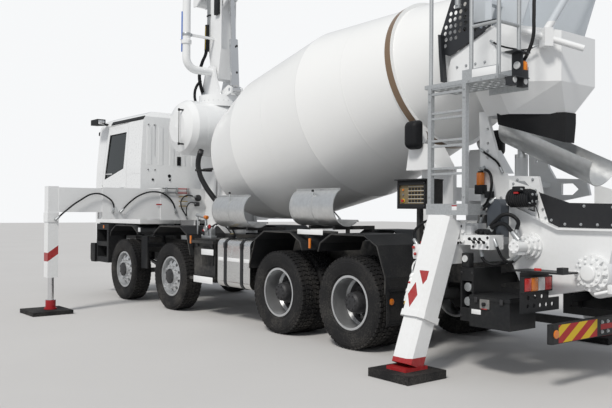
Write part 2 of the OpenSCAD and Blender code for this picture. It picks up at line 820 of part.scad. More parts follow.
module rear_leg(side) {
    place() mirror([0, side, 0]) {
        color(white) along_rear_leg() difference() {
            chamfered(rear_leg_w, -rear_leg_low + 130, -500);
            chamfered(rear_leg_w - 20, -rear_leg_low + 150, -499);
        }
        color(red) {
            difference() {
                along_rear_leg() chamfered(rear_leg_w, -rear_leg_low - 80, -rear_leg_low + 130);
                block([rear_x - 300, 1000, -300], [rear_x + 300, 2400, 110]);
            }
            fy = rear_top_y + (rear_top_z - 110) * tan(rear_tilt);
            block([rear_x - 125, fy - 150, 80], [rear_x + 125, fy + 150, 112]);
        }
    }
}

module outrigger_pads() {
    place() color(dark) {
        for (side = [0, 1]) mirror([0, side, 0]) {
            block([beam_x(side) - pad_w / 2, leg_y - pad_w / 2 + 60, 0], [beam_x(side) + pad_w / 2, leg_y + pad_w / 2 + 60, pad_t]);
            fy = rear_top_y + (rear_top_z - 110) * tan(rear_tilt);
            block([rear_x - rear_pad_w / 2, fy - rear_pad_w / 2, 0], [rear_x + rear_pad_w / 2, fy + rear_pad_w / 2, 80]);
        }
    }
}

// Water tank around the column

tank_r = 460;
tank_z = 2950;
tank_y = 900;

module water_tank() {
    place() color(white) difference() {
        translate([-mast_x - 40, 0, tank_z]) rotate([90, 0, 0]) rotate_extrude($fn = 64)
            polygon([[0, -tank_y], [tank_r * 0.55, -tank_y + 20], [tank_r * 0.88, -tank_y + 90], [tank_r, -tank_y + 190],
                [tank_r, tank_y - 190], [tank_r * 0.88, tank_y - 90], [tank_r * 0.55, tank_y - 20], [0, tank_y]]);
        block([mast_rear - seat, -mast_w / 2 - seat, tank_z - tank_r - 1], [mast_front + seat, mast_w / 2 + seat, tank_z + tank_r + 1]);
        translate([-mast_x, 0, mast_top - 92]) cylinder(r = 402, h = 200);
        // Seats of the two tension bands
        for (s = [-1, 1]) translate([-mast_x - 40, s * 560, tank_z]) rotate([90, 0, 0]) difference() {
            cylinder(r = tank_r + 1, h = 50, center = true);
            cylinder(r = tank_r - 3, h = 52, center = true);
        }
    }
}

// Boom

cheek_y = 175;
arm_w = 300;
arm_d = 450;
luff_base = [-mast_x - 440, pivot_z - 340];
luff_eye = [-mast_x - 325, pivot_z + 1300];
bay_x = -mast_x - arm_d / 2 + 130;
bay_low = pivot_z + 380;
bay_high = pivot_z + 2300;

module boom_turret() {
    place() color(white) {
        difference() {
            union() {
                translate([-mast_x, 0, mast_top]) cylinder(r = 375, h = 110);
                both() {
                    side_shape([[-mast_x - 300, mast_top + 100], [-mast_x + 330, mast_top + 100], [-mast_x + 160, pivot_z + 60],
                        [-mast_x + 40, pivot_z + 120], [-mast_x - 90, pivot_z + 90], [-mast_x - 160, pivot_z - 120]],
                        cheek_y, cheek_y + 40);
                    side_shape([[-mast_x - 200, mast_top + 60], [luff_base[0] - 60, luff_base[1] - 60], [luff_base[0] - 70, luff_base[1] + 30],
                        [luff_base[0] + 40, luff_base[1] + 80], [-mast_x - 180, mast_top + 170]], 85, 115);
                }
            }
            both() {
                shaft_y(-mast_x, pivot_z, 45 + pin_gap, cheek_y - 1, cheek_y + 41);
                shaft_y(luff_base[0], luff_base[1], 30 + pin_gap, 84, 116);
            }
        }
    }
}

// Box arm along Z with side walls, seen along Y, with a boss at each end
module arm_box(x0, x1, z0, z1, w, t, taper) {
    difference() {
        side_shape([[x0 + taper, z0], [x1 - taper, z0], [x1, z0 + 500], [x1, z1 - 500], [x1 - taper, z1], [x0 + taper, z1],
            [x0, z1 - 500], [x0, z0 + 500]], -w / 2, w / 2);
        side_shape([[x0 + taper + t, z0 + t], [x1 - taper - t, z0 + t], [x1 - t, z0 + 500], [x1 - t, z1 - 500], [x1 - taper - t, z1 - t],
            [x0 + taper + t, z1 - t], [x0 + t, z1 - 500], [x0 + t, z0 + 500]], -w / 2 + t, w / 2 - t);
    }
}

arm_1_top = pivot_z + arm_1;
arm_2_low = arm_1_top - arm_2;
elbow_1 = [-mast_x + fold_gap / 2 + 60, arm_1_top];
elbow_2 = [elbow_1[0] + fold_gap, arm_2_low];

module boom_arm_1() {
    place() color(white) difference() {
        union() {
            difference() {
                union() {
                    arm_box(-mast_x - arm_d / 2, -mast_x + arm_d / 2 - 60, pivot_z - 120, arm_1_top - 150, arm_w, 10, 90);
                    block([-mast_x - arm_d / 2 + 5, 5 - arm_w / 2, bay_low - 10], [bay_x + 10, arm_w / 2 - 5, bay_high + 10]);
                }
                // Open bay at the back that the luffing cylinder lies in
                block([-mast_x - arm_d / 2 - 1, 12 - arm_w / 2, bay_low], [bay_x, arm_w / 2 - 12, bay_high]);
            }
            shaft_y(-mast_x, pivot_z, 80, -arm_w / 2, arm_w / 2);
            shaft_y(-mast_x, pivot_z, 45, -cheek_y - 40, cheek_y + 40);
            // Fork that carries the second arm
            both() side_shape([[-mast_x - 120, arm_1_top - 700], [-mast_x + 120, arm_1_top - 700], [elbow_1[0] + 70, elbow_1[1] - 60],
                [elbow_1[0] + 60, elbow_1[1] + 70], [elbow_1[0] - 70, elbow_1[1] + 70], [-mast_x - 120, arm_1_top - 200]],
                arm_w / 2 - 1, arm_w / 2 + 25);
            // Lugs of the luffing cylinder
            both() side_shape([[bay_x + 5, luff_eye[1] - 260], [luff_eye[0] - 60, luff_eye[1] - 40], [luff_eye[0] - 60, luff_eye[1] + 40],
                [bay_x + 5, luff_eye[1] + 260]], 82, 106);
        }
        shaft_y(elbow_1[0], elbow_1[1], 40 + pin_gap, -arm_w, arm_w);
    }
}

module boom_arm_2() {
    place() color(white) difference() {
        union() {
            arm_box(elbow_1[0] - 90, elbow_1[0] + 170, arm_2_low + 120, arm_1_top - 150, arm_w - 80, 10, 60);
            side_shape([[elbow_1[0] - 60, arm_1_top - 400], [elbow_1[0] + 110, arm_1_top - 400], [elbow_1[0] + 75, elbow_1[1]],
                [elbow_1[0] + 40, elbow_1[1] + 70], [elbow_1[0] - 40, elbow_1[1] + 70], [elbow_1[0] - 75, elbow_1[1]]],
                -arm_w / 2 + 40, arm_w / 2 - 40);
            shaft_y(elbow_1[0], elbow_1[1], 40, -arm_w / 2 - 25, arm_w / 2 + 25);
            shaft_y(elbow_1[0], elbow_1[1], 60, -arm_w / 2 + 6, arm_w / 2 - 6);
            both() side_shape([[elbow_1[0], arm_2_low + 600], [elbow_1[0] + 150, arm_2_low + 600], [elbow_2[0] + 60, elbow_2[1] + 60],
                [elbow_2[0] + 60, elbow_2[1] - 60], [elbow_2[0] - 60, elbow_2[1] - 60], [elbow_1[0] + 20, arm_2_low + 200]],
                arm_w / 2 - 41, arm_w / 2 - 16);
        }
        shaft_y(elbow_2[0], elbow_2[1], 35 + pin_gap, -arm_w, arm_w);
    }
}

module boom_arm_3() {
    top = arm_2_low + arm_3;
    place() color(white) {
        arm_box(elbow_2[0] - 90, elbow_2[0] + 120, arm_2_low + 120, top, arm_w - 130, 10, 40);
        side_shape([[elbow_2[0] - 60, arm_2_low + 400], [elbow_2[0] + 90, arm_2_low + 400], [elbow_2[0] + 60, elbow_2[1]],
            [elbow_2[0] + 30, elbow_2[1] - 55], [elbow_2[0] - 30, elbow_2[1] - 55], [elbow_2[0] - 60, elbow_2[1]]],
            -arm_w / 2 + 65, arm_w / 2 - 65);
        shaft_y(elbow_2[0], elbow_2[1], 35, -arm_w / 2 + 16, arm_w / 2 - 16);
        shaft_y(elbow_2[0], elbow_2[1], 50, -arm_w / 2 + 46, arm_w / 2 - 46);
    }
}

luff_dir = luff_eye - luff_base;
luff_l = norm(luff_dir);
luff_angle = atan2(luff_dir[0], luff_dir[1]);

module along_luff() {
    translate([luff_base[0], 0, luff_base[1]]) rotate([0, luff_angle, 0]) children();
}

module luff_barrel() {
    place() color(bare) along_luff() {
        difference() {
            union() {
                shaft_y(0, 0, 60, -80, 80);
                translate([-40, -60, 0]) cube([80, 120, 70]);
                translate([0, 0, 66]) cylinder(r = 75, h = 794);
            }
            translate([0, 0, 72]) cylinder(r = 60, h = 734);
            translate([0, 0, 800]) cylinder(r = 40 + pin_gap, h = 100);
        }
        shaft_y(0, 0, 30, -115, 115);
    }
}

module luff_rod() {
    place() color(bare) along_luff() {
        translate([0, 0, 795]) cylinder(r = 40, h = luff_l - 795 - 30);
        translate([0, 0, 792]) cylinder(r = 59, h = 12);
        difference() {
            shaft_y(0, luff_l, 60, -76, 76);
            shaft_y(0, luff_l, 30, -77, 77);
        }
    }
}

pipe_y = 690;
module delivery_pipe() {
    px = -mast_x;
    bend = 200;
    place() color(white) {
        shaft_z(px, pipe_y, pipe_r, pivot_z + bend, arm_1_top - 300);
        for (z = [pivot_z + 560, pivot_z + 2600, pivot_z + 4600])
            block([px - 20, arm_w / 2, z], [px + 20, pipe_y - pipe_r + 2, z + 40]);
        for (z = [pivot_z + 420, pivot_z + 3400]) shaft_z(px, pipe_y, pipe_r + 18, z, z + 60);
        translate([px, pipe_y - bend, pivot_z + bend]) rotate([0, 90, 0])
            rotate_extrude(angle = 90) translate([bend, 0]) circle(r = pipe_r);
        shaft_y(px, pivot_z, pipe_r, cheek_y + 40 + seat, pipe_y - bend);
    }
}

// Drum and its stands

drum_profile = [[0, 200], [0, 420], [100, 710], [450, 940], [1320, 1140], [2900, drum_r], [4310, 880], [5200, 660]];

module along_drum() {
    translate([-drum_x, 0, drum_z]) rotate([0, -(90 - drum_tilt), 0]) children();
}

module drum() {
    n = len(drum_profile) - 1;
    place() {
        color(white) along_drum() {
            rotate_extrude($fn = 96) polygon(concat(
                [[0, -40], [200, -40], [200, 0]],
                [for (k = [1:n]) [drum_profile[k][1], drum_profile[k][0]]],
                [for (k = [n:-1:2]) [drum_profile[k][1] - drum_t, drum_profile[k][0]]],
                [[420 - drum_t, drum_t * 2], [0, drum_t * 2]]));
        }
        color(grey) along_drum() rotate_extrude($fn = 96)
            polygon([[878, ring_s - 50], [ring_r, ring_s - 50], [ring_r, ring_s + 50], [868, ring_s + 50]]);
    }
}

roller_a = 38;
roller_r = 110;

module drum_stands() {
    place() {
        color(white) {
            // Front stand with the drive's gearbox
            along_drum() {
                translate([0, 0, -300]) cylinder(r = 270, h = 260 - seat);
                translate([0, 0, -420]) cylinder(r = 170, h = 125);
            }
            both() side_shape([[-1960, sub_z], [-1480, sub_z], [-1560, 2150], [-1720, 2260], [-1880, 2060]], 235, 265);
            block([-1880, -240, sub_z], [-1860, 240, 2000]);
            // Rear stand
            both() {
                block([-6750, rail_y - 60, sub_z], [-6280, rail_y, 2050]);
                side_shape([[-6750, 2040], [-6280, 2040], [-6330, 2330], [-6560, 2330]], rail_y - 60, rail_y + 260);
            }
            block([-6700, -rail_y, 1700], [-6400, rail_y, 1850]);
        }
        // Support rollers
        color(grey) both() along_drum() rotate([0, 0, 180 - roller_a])
            translate([ring_r + roller_r + seat, 0, ring_s - 60]) cylinder(r = roller_r, h = 120);
    }
}

// Hoppers and chutes at the rear

// Plan of the collector: half an octagon around the drum's mouth, open towards the drum
function collector_plan(y, x0, k) = [[x0, y], [-7540, y], [-8020 + k, y - 430], [-8020 + k, 430 - y],
    [-7540, -y], [x0, -y]];

collector_y = 740;
collector_t = 8;
collector_low = 2580;
collector_mid = 2880;
outlet_y = 500;
feed_y = 560;
funnel_side = [[-7100, 3560], [-7740, 3460], [-8060, 4400], [-6990, 4400]];

module charging_hopper() {
    t = collector_t;
    place() color(white) {
        // Upright walls of the collector, with a cut-out at each rear corner
        intersection() {
            translate([0, 0, collector_mid]) linear_extrude(700) difference() {
                polygon(collector_plan(collector_y, -6900, 0));
                offset(delta = -t) polygon(collector_plan(collector_y, -6900, 0));
                translate([-7100, t - collector_y]) square([300, 2 * (collector_y - t)]);
            }
            difference() {
                side_shape([[-6900, 2950], [-6980, 3220], [-7540, 3460], [-7560, 3480], [-8030, 3380],
                    [-8030, collector_mid], [-7300, collector_mid], [-7260, 2930]], -900, 900);
                both() translate([-7780, 520, 0]) rotate([0, 0, -42]) {
                    block([-190, -100, 3110], [-60, 100, 3290]);
                    block([-200, -100, 2990], [-130, 100, 3040]);
                }
            }
        }
        // Lower part that narrows to the outlet over the chute
        difference() {
            hull() {
                translate([0, 0, collector_mid]) linear_extrude(1) polygon(collector_plan(collector_y, -7260, 0));
                translate([0, 0, collector_low]) linear_extrude(1) polygon(collector_plan(outlet_y, -7260, 100));
            }
            hull() {
                translate([0, 0, collector_mid]) linear_extrude(2)
                    offset(delta = -t - 1) polygon(collector_plan(collector_y, -7260, 0));
                translate([0, 0, collector_low - 1]) linear_extrude(1)
                    offset(delta = -t) polygon(collector_plan(outlet_y, -7260, 100));
            }
        }
        // Feet on the side plates and bars that carry the feed funnel
        both() {
            block([-7290, rail_y - 30, 2640 + seat], [-7210, rail_y + 40, 2900]);
            block([-7500, collector_y - t, 3300], [-7420, collector_y, 3720]);
            block([-7500, feed_y - 1, 3680], [-7420, collector_y, 3720]);
        }
        // Feed funnel with its folded rim
        difference() {
            side_shape(funnel_side, -feed_y, feed_y);
            side_shape([for (q = funnel_side) [q[0] + (q[0] > -7400 ? -t : t), q[1] + (q[1] > 4000 ? 1 : -60)]],
                t - feed_y, feed_y - t);
        }
        difference() {
            block([-8100, -feed_y - 40, 4390], [-6950, feed_y + 40, 4405]);
            block([-8050, -feed_y + 5, 4389], [-7000, feed_y - 5, 4406]);
        }
        // Spout that leads into the drum's mouth
        difference() {
            side_shape([[-7742, 3462], [-7742, 3440], [-6860, 3210], [-6860, 3420], [-7102, 3562]], -250, 250);
            side_shape([[-7734, 3600], [-7734, 3446], [-6850, 3217], [-6850, 3600]], -242, 242);
        }
        // Lever that swings the outlet's flap, with its cylinder
        bar([-7760, 600, 3385], [-8260, 300, 3160], 32);
        translate([-7960, 480, 3260]) rotate([0, 0, -30]) block([-60, -45, -60], [60, 45, 120]);
        bar([-7900, 440, 3330], [-8060, 300, 3700], 38);
    }
}

chute_r = 250;
chute_x = -7250;
chute_z = 2560;
chute_l = 1180;
chute_tilt = 25;
swivel_x = -7340;

module chute() {
    place() color(zinc) {
        translate([chute_x, 0, chute_z]) rotate([0, -90 - chute_tilt, 0]) difference() {
            cylinder(r = chute_r, h = chute_l);
            translate([0, 0, -1]) cylinder(r = chute_r - 6, h = chute_l + 2);
            translate([0, -300, -1]) cube([300, 600, chute_l + 2]);
        }
        difference() {
            shaft_z(swivel_x, 0, 40, 1945, 2280);
            translate([chute_x, 0, chute_z]) rotate([0, -90 - chute_tilt, 0]) cylinder(r = chute_r - 3, h = chute_l);
        }
        shaft_z(swivel_x, 0, 70, 2160 + seat, 2200);
    }
}

tub_side = [[-7750, 1660], [-8300, 1430], [-8850, 1430], [-8780, 1080], [-8560, 880], [-8200, 800], [-7900, 860], [-7750, 1150]];
tub_y = 780;
tub_t = 10;
tub_rim = 40;

module pump_hopper() {
    place() {
        color(white) {
            difference() {
                side_shape(tub_side, -tub_y, tub_y);
                translate([0, tub_y - tub_t, 0]) rotate([90, 0, 0]) linear_extrude(2 * (tub_y - tub_t)) offset(delta = -tub_t)
                    polygon(concat([[-7750, 1760], [-8850, 1760]], [for (k = [2:7]) tub_side[k]]));
            }
            // Folded rim
            both() side_shape([[-7750, 1660], [-8300, 1430], [-8850, 1430], [-8850, 1412], [-8304, 1412], [-7750, 1642]],
                tub_y - 1, tub_y + tub_rim);
            // Raised corner plates
            both() side_shape([[-7750, 1655], [-7750, 1890], [-8080, 1790], [-8190, 1476]], tub_y - 8, tub_y);
            // Safety grille
            for (k = [-5:5]) block([-8830, k * 130 - 5, 1385], [-7770, k * 130 + 5, 1405]);
            for (x = [-8100, -8480]) block([x - 6, -tub_y + 5, 1380], [x + 6, tub_y - 5, 1400]);
            // Pump's cylinders and water box ahead of the hopper
            for (s = [-1, 1]) translate([-7751, s * 130, 1370]) rotate([0, 90, 0]) cylinder(r = 105, h = 1000);
            block([-6760, -240, 1265], [-6460, 240, 1475]);
            // Agitator's motor with its flange
            both() shaft_y(-8000, 1250, 130, tub_y - 1, tub_y + 25);
            shaft_y(-8000, 1250, 108, tub_y, tub_y + 70);
            shaft_y(-8000, 1250, 84, tub_y + 69, tub_y + 120);
            shaft_y(-8000, 1250, 58, tub_y + 119, tub_y + 270);
            // Outlet's housing low on the side, with its ring and ribs
            shaft_y(-8650, 1040, 165, tub_y - 40, tub_y + 50);
            shaft_y(-8650, 1040, 120, tub_y + 49, tub_y + 95);
            for (a = [0:45:315]) translate([-8650, 0, 1040]) rotate([0, a, 0]) block([118, tub_y + 40, -8], [160, tub_y + 80, 8]);
            // Pipe bend under the tub
            shaft_y(-8420, 880, 120, -300, 300);
        }
        color(dark) {
            // Rubber splash guards on the rim
            both() side_shape([[-8086, 1760], [-8190, 1480], [-8300, 1434], [-8850, 1434], [-8850, 1650], [-8400, 1660]], tub_y - 12, tub_y);
            block([-8850, -tub_y, 1434], [-8838, tub_y, 1650]);
            // Vibrator on the left corner plate
            block([-8060, tub_y, 1640], [-7850, tub_y + 20, 1770]);
            translate([-8080, tub_y + 95, 1705]) rotate([0, 90, 0]) cylinder(r = 82, h = 240);
            translate([-8100, tub_y + 95, 1705]) rotate([0, 90, 0]) cylinder(r = 60, h = 280);
        }
    }
}

ext_x = [-3790, -5640];
ext_z = [1570, 1625];
ext_r = 232;
ext_y = half_w - ext_r - 10;
ext_l = 830;
ext_t = 6;
ext_turn = 52;
ext_lip = 36;
ext_fold = 24;

// Half pipe along X with a lip and a folded rim on both sides, turned towards the drum
module half_pipe(l, r, t) {
    rotate([90, 0, 90]) linear_extrude(l) rotate(ext_turn) {
        difference() {
            circle(r = r);
            circle(r = r - t);
            translate([-r - 1, 0]) square([2 * r + 2, r + 1]);
        }
        for (m = [0, 1]) mirror([m, 0]) {
            translate([r - t, -1]) square([t, ext_lip + 1]);
            translate([r - t, ext_lip - t]) square([ext_fold, t]);
        }
    }
}

module chute_extensions() {
    place() color(zinc) for (i = [0, 1]) translate([ext_x[i], ext_y, ext_z[i]]) {
        half_pipe(ext_l, ext_r, ext_t);
        // Rolled ends and the strap in the middle
        for (x = [0, ext_l / 2 - 15, ext_l - 16]) translate([x, 0, 0])
            rotate([90, 0, 90]) linear_extrude(x > 0 && x < ext_l - 20 ? 30 : 16) rotate(ext_turn) difference() {
                circle(r = ext_r + 5);
                circle(r = ext_r - 1);
                translate([-ext_r - 6, 0]) square([2 * ext_r + 12, ext_r + 6]);
            }
    }
}

ladder_x = [-7550, -7110];
ladder_y = 1200;
step_z = 1560;
deck_z = 2810;
deck_rear = -7940;
rail_z = 3860;
guard_y = 760;
guard_hole = 22;

// Black sheets with round holes beside the drum's mouth
module screens() {
    difference() {
        union() {
            side_shape([[-6862, 3270], [-6850, 3480], [-7000, 3830], [-7250, 3830], [-7270, 3520], [-7575, 3510],
                [-7590, 3470], [-7545, 3465], [-6985, 3225]], guard_y, guard_y + 6);
            side_shape([[-6872, 3262], [-6860, 3470], [-6895, 3462], [-6938, 2960], [-6900, 2955]], guard_y - 1, guard_y + 60);
        }
        for (r = [0:6], c = [0:4]) {
            x = -6915 - 66 * c - 10 * (r % 2);
            z = 3345 + 66 * r;
            if (z > 3320 + 0.45 * (-6900 - x) && x < -6890 - (z - 3480) * 0.43 && x > -7245)
                shaft_y(x, z, guard_hole, guard_y - 1, guard_y + 7);
        }
        for (c = [0:3]) shaft_y(-7320 - 66 * c, 3450 + 10 * c, guard_hole, guard_y - 1, guard_y + 7);
    }
}

module access_ladder() {
    place() {
        color(zinc) {
            // Rails, double rungs and the step box at the bottom
            for (x = ladder_x) difference() {
                block([x - 22, ladder_y - 25, step_z], [x + 22, ladder_y + 25, deck_z + 5]);
                block([x - 14, ladder_y - 26, step_z - 1], [x + 14, ladder_y + 17, deck_z - 40]);
            }
            for (k = [0:3]) for (dz = [0, 55])
                block([ladder_x[0], ladder_y - 16, 1935 + k * 278 + dz - (k > 2 ? 30 : 0)],
                    [ladder_x[1], ladder_y + 16, 1957 + k * 278 + dz - (k > 2 ? 30 : 0)]);
            difference() {
                block([ladder_x[0] - 60, ladder_y - 160, step_z - 20], [ladder_x[1] + 30, ladder_y + 35, step_z + 90]);
                block([ladder_x[0] - 50, ladder_y - 150, step_z - 10], [ladder_x[1] + 20, ladder_y + 25, step_z + 91]);
                for (k = [0:4], j = [0:1]) shaft_z(ladder_x[0] + 40 + 90 * k, ladder_y - 110 + 70 * j, 22, step_z - 21, step_z - 9);
            }
            for (x = ladder_x) block([x - 20, 460 + seat, step_z - 15], [x + 20, ladder_y - 150, step_z + 25]);
            // Deck with its folded edges and toe board
            difference() {
                block([deck_rear, collector_y + seat, deck_z], [-7040, ladder_y + 22, deck_z + 40]);
                block([deck_rear + 6, collector_y + 6, deck_z + 6], [-7046, ladder_y + 16, deck_z + 41]);
                for (k = [0:8], j = [0:3]) shaft_z(-7120 - 95 * k, 820 + 95 * j, 26, deck_z - 1, deck_z + 7);
            }
            block([deck_rear, ladder_y + 10, deck_z + 39], [ladder_x[0] + 30, ladder_y + 18, deck_z + 130]);
            block([deck_rear, collector_y + seat, deck_z - 60], [-7480, collector_y + 8, deck_z + 160]);
            // Hand rails
            for (q = [[-7100, ladder_y - 8], [ladder_x[0] - 60, ladder_y - 8], [deck_rear + 20, ladder_y - 20], [deck_rear + 20, 870]])
                bar([q[0], q[1], deck_z + 4], [q[0], q[1], rail_z + 20], 20);
            for (z = [deck_z + 540, rail_z]) {
                bar([ladder_x[0] - 60, ladder_y - 8, z], [deck_rear + 20, ladder_y - 20, z], 16);
                bar([deck_rear + 20, ladder_y - 20, z], [deck_rear + 20, 870, z], 16);
            }
            bar([-7100, ladder_y - 8, rail_z], [-7100, guard_y + 30, rail_z], 16);
            bar([-7100, guard_y + 30, rail_z + 20], [-7100, guard_y + 30, rail_z - 120], 20);
            block([-7130, guard_y + 3, rail_z - 150], [-7070, guard_y + 36, rail_z - 60]);
        }
        color(dark) {
            screens();
            // Bracket with the beacon and two work lamps
            block([deck_rear - 120, 1000, deck_z + 20], [deck_rear + 2, 1008, deck_z + 260]);
            block([deck_rear - 130, 900, deck_z + 250], [deck_rear + 30, 1120, deck_z + 260]);
            block([deck_rear - 120, 900, deck_z + 14], [deck_rear + 1, 1120, deck_z + 22]);
            for (y = [920, 1090]) block([deck_rear - 90, y - 42, deck_z - 60], [deck_rear - 20, y + 42, deck_z + 15]);
            shaft_z(deck_rear - 60, 940, 62, deck_z + 21, deck_z + 90);
        }
        color(amber) shaft_z(deck_rear - 60, 940, 52, deck_z + 89, deck_z + 165);
    }
}

lamp_x = -8230;
lamp_z = 860;
lamp_h = 120;
lamp_in = 795;
lamp_out = 1215;
bumper_low = 430;
bumper_high = 600;
bumper_y = 1200;
plate_top = 2640;

// A row of round holes along Y through a plate that faces X
module holes_x(x, y0, y1, n, z, r) {
    for (k = [0:n - 1]) translate([x - 20, y0 + (y1 - y0) * (k + 0.5) / n, z]) rotate([0, 90, 0]) cylinder(r = r, h = 40);
}

module rear_frame() {
    place() {
        color(white) {
            both() {
                along_rear_leg() {
                    difference() {
                        chamfered(rear_sleeve_w, -rear_sleeve_l, 0);
                        chamfered(rear_leg_w + 2 * slide_gap, -rear_sleeve_l - 1, -20);
                    }
                    // Collar at the sleeve's mouth
                    difference() {
                        chamfered(rear_sleeve_w + 24, -rear_sleeve_l, -rear_sleeve_l + 60);
                        chamfered(rear_sleeve_w - 2, -rear_sleeve_l - 1, -rear_sleeve_l + 61);
                    }
                    translate([-60, -rear_leg_w / 2 - slide_gap - 2, -rear_sleeve_l]) cube([120, slide_gap + 2 - seat, 150]);
                }
                // Side plates that carry the collector and the chute
                difference() {
                    side_shape([[-7560, rail_top + 179], [-7170, rail_top + 179], [-7130, plate_top], [-7252, plate_top],
                        [-7252, 2540], [-7400, 2080], [-7480, 1950], [-7860, 1930], [-7900, 1760], [-7560, 1700]], rail_y - 10, rail_y + 30);
                    side_shape([[-7560, 1890], [-7700, 1890], [-7770, 1825], [-7700, 1765], [-7560, 1765]], rail_y - 11, rail_y + 31);
                    for (z = [1360, 1500]) shaft_y(-7360, z, 50, rail_y - 11, rail_y + 31);
                    for (z = [2150, 2300, 2450]) shaft_y(-7245, z, 16, rail_y - 11, rail_y + 31);
                }
            }
            difference() {
                block([rear_x - 110, -1260, rail_top], [rear_x + 110, 1260, rail_top + 180]);
                both() along_rear_leg() chamfered(rear_sleeve_w - 8, -rear_sleeve_l, 10);
                both() block([rear_x - 111, 1245, 0], [rear_x + 111, 1300, 2000]);
            }
            block([-7200, -rail_y - 30, plate_top - 50], [-7135, rail_y + 30, plate_top]);
            difference() {
                union() {
                    block([-7430, -rail_y + 5, 1850], [-7250, rail_y - 5, 1900]);
                    shaft_z(swivel_x, 0, 70, 1850, 2160);
                }
                shaft_z(swivel_x, 0, 40 + pin_gap, 1849, 2161);
            }
            // Valve block of the outriggers, on the left
            block([-7560, 700, 1235], [-7400, 900, 1290]);
            difference() {
                union() {
                    block([-7540, 860, 1250], [-7400, 1100, 1460]);
                    block([-7760, 880, 1210], [-7540, 1100, 1350]);
                }
                block([-7541, 1000, 1345], [-7470, 1101, 1461]);
            }
            for (k = [0:2]) shaft_y(-7600 - 60 * k, 1275, 18, 1095, 1125);
            for (z = [1290, 1380]) shaft_y(-7450, z, 20, 1095, 1118);
        }
        color(dark) {
            // Water box with a round top beside the side plate
            block([-7610, rail_y + 29, 1480], [-7480, 560, 1530]);
            block([-7742, 520, 1330], [-7580, 900, 1620]);
            shaft_y(-7661, 1620, 81, 520, 900);
            // Frame of the rear leg's lock, with two slots
            for (side = [0, 1]) mirror([0, side, 0]) difference() {
                block([-7600, 700, 510], [-7440, 1130, 1030]);
                block([-7580, 699, 640], [-7460, 1131, 900]);
            }
            both() block([-7600, rail_y, 860], [-7540, 701, 960]);
            // Rear bumper with its arms and rounded end caps
            block([-8520, -bumper_y, bumper_low], [-8460, bumper_y, bumper_high]);
            both() {
                shaft_z(-8490, bumper_y, 30, bumper_low, bumper_high);
                block([-8461, rail_y - 60, 480], [frame_rear + 80, rail_y - 10, 560]);
                block([frame_rear, rail_y - 60, 480], [frame_rear + 80, rail_y - 10, rail_top - rail_h]);
                // Tool box with its lid's edge
                block([-8060, 790, 480], [-7601, 1190, 780]);
                block([-8070, 780, 740], [-7601, 1200, 770]);
                block([-7700, rail_y - 11, 600], [-7620, 791, 680]);
                // Plate over the lamp and the lamp's bracket with its holes
                block([-8560, 886, 1030], [-8040, 1130, 1045]);
                block([-8560, 1040, 1044], [-8500, 1130, 1090]);
                block([-8060, 900, 779], [-8010, 960, 1031]);
                difference() {
                    union() {
                        block([-8200, 620, 660], [-8190, lamp_out + 10, 780]);
                        block([-8200, lamp_in - 5, 779], [-8190, lamp_out + 10, 1031]);
                    }
                    holes_x(-8195, 680, 1160, 5, 720, 20);
                    holes_x(-8195, 840, 1160, 3, 800, 20);
                }
                block([-8195, 900, 660], [-8060, 960, 700]);
            }
        }
        // Rear lamps in four fields
        color(red) both() for (k = [0:3])
            block([lamp_x, lamp_in + (lamp_out - lamp_in) * k / 4 + 3, lamp_z], [-8199, lamp_in + (lamp_out - lamp_in) * (k + 1) / 4 - 3, lamp_z + lamp_h]);
    }
}

chassis_frame();
engine_block();
front_bumper();
axles();
knuckle(0, 0);  // knuckle_1_left
knuckle(0, 1);  // knuckle_1_right
knuckle(1, 0);  // knuckle_2_left
knuckle(1, 1);  // knuckle_2_right
wheel_tyre(0, 0);  // tyre_1_left
wheel_tyre(0, 1);  // tyre_1_right
wheel_tyre(1, 0);  // tyre_2_left
wheel_tyre(1, 1);  // tyre_2_right
wheel_tyre(2, 0);  // tyre_3_left
wheel_tyre(2, 1);  // tyre_3_right
wheel_tyre(3, 0);  // tyre_4_left
wheel_tyre(3, 1);  // tyre_4_right
wheel_rim(0, 0);  // rim_1_left
wheel_rim(0, 1);  // rim_1_right
wheel_rim(1, 0);  // rim_2_left
wheel_rim(1, 1);  // rim_2_right
wheel_rim(2, 0);  // rim_3_left
wheel_rim(2, 1);  // rim_3_right
wheel_rim(3, 0);  // rim_4_left
wheel_rim(3, 1);  // rim_4_right
mudguards();
fuel_tank();
side_boxes();
cab_shell();
cab_door(0);  // cab_door_left
cab_door(1);  // cab_door_right
windscreen();
door_glass(0);  // door_glass_left
door_glass(1);  // door_glass_right
cab_trim();
water_tank();
boom_pedestal();
boom_turret();
boom_arm_1();
boom_arm_2();
boom_arm_3();
luff_barrel();
luff_rod();
delivery_pipe();
stage_1(0);  // stage_1_left
stage_1(1);  // stage_1_right
stage_2(0);  // stage_2_left
stage_2(1);  // stage_2_right
front_leg(0);  // front_leg_left
front_leg(1);  // front_leg_right
rear_leg(0);  // rear_leg_left
rear_leg(1);  // rear_leg_right
outrigger_pads();
drum();
drum_stands();
charging_hopper();
chute();
pump_hopper();
chute_extensions();
access_ladder();
rear_frame();
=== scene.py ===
# %% [markdown]
# # A concrete mixer truck with pump and boom
# The truck's hard parts come from the CAD model, already in place and in metres. This lesson
# dresses them: each part gets a finish built from nodes, and the small pieces that make a
# truck believable, such as wheel bolts, hoses, lamps and warning stripes, are modelled on top.

# %% Load the CAD frame
import math

import bpy
import bmesh
from mathutils import Matrix, Vector


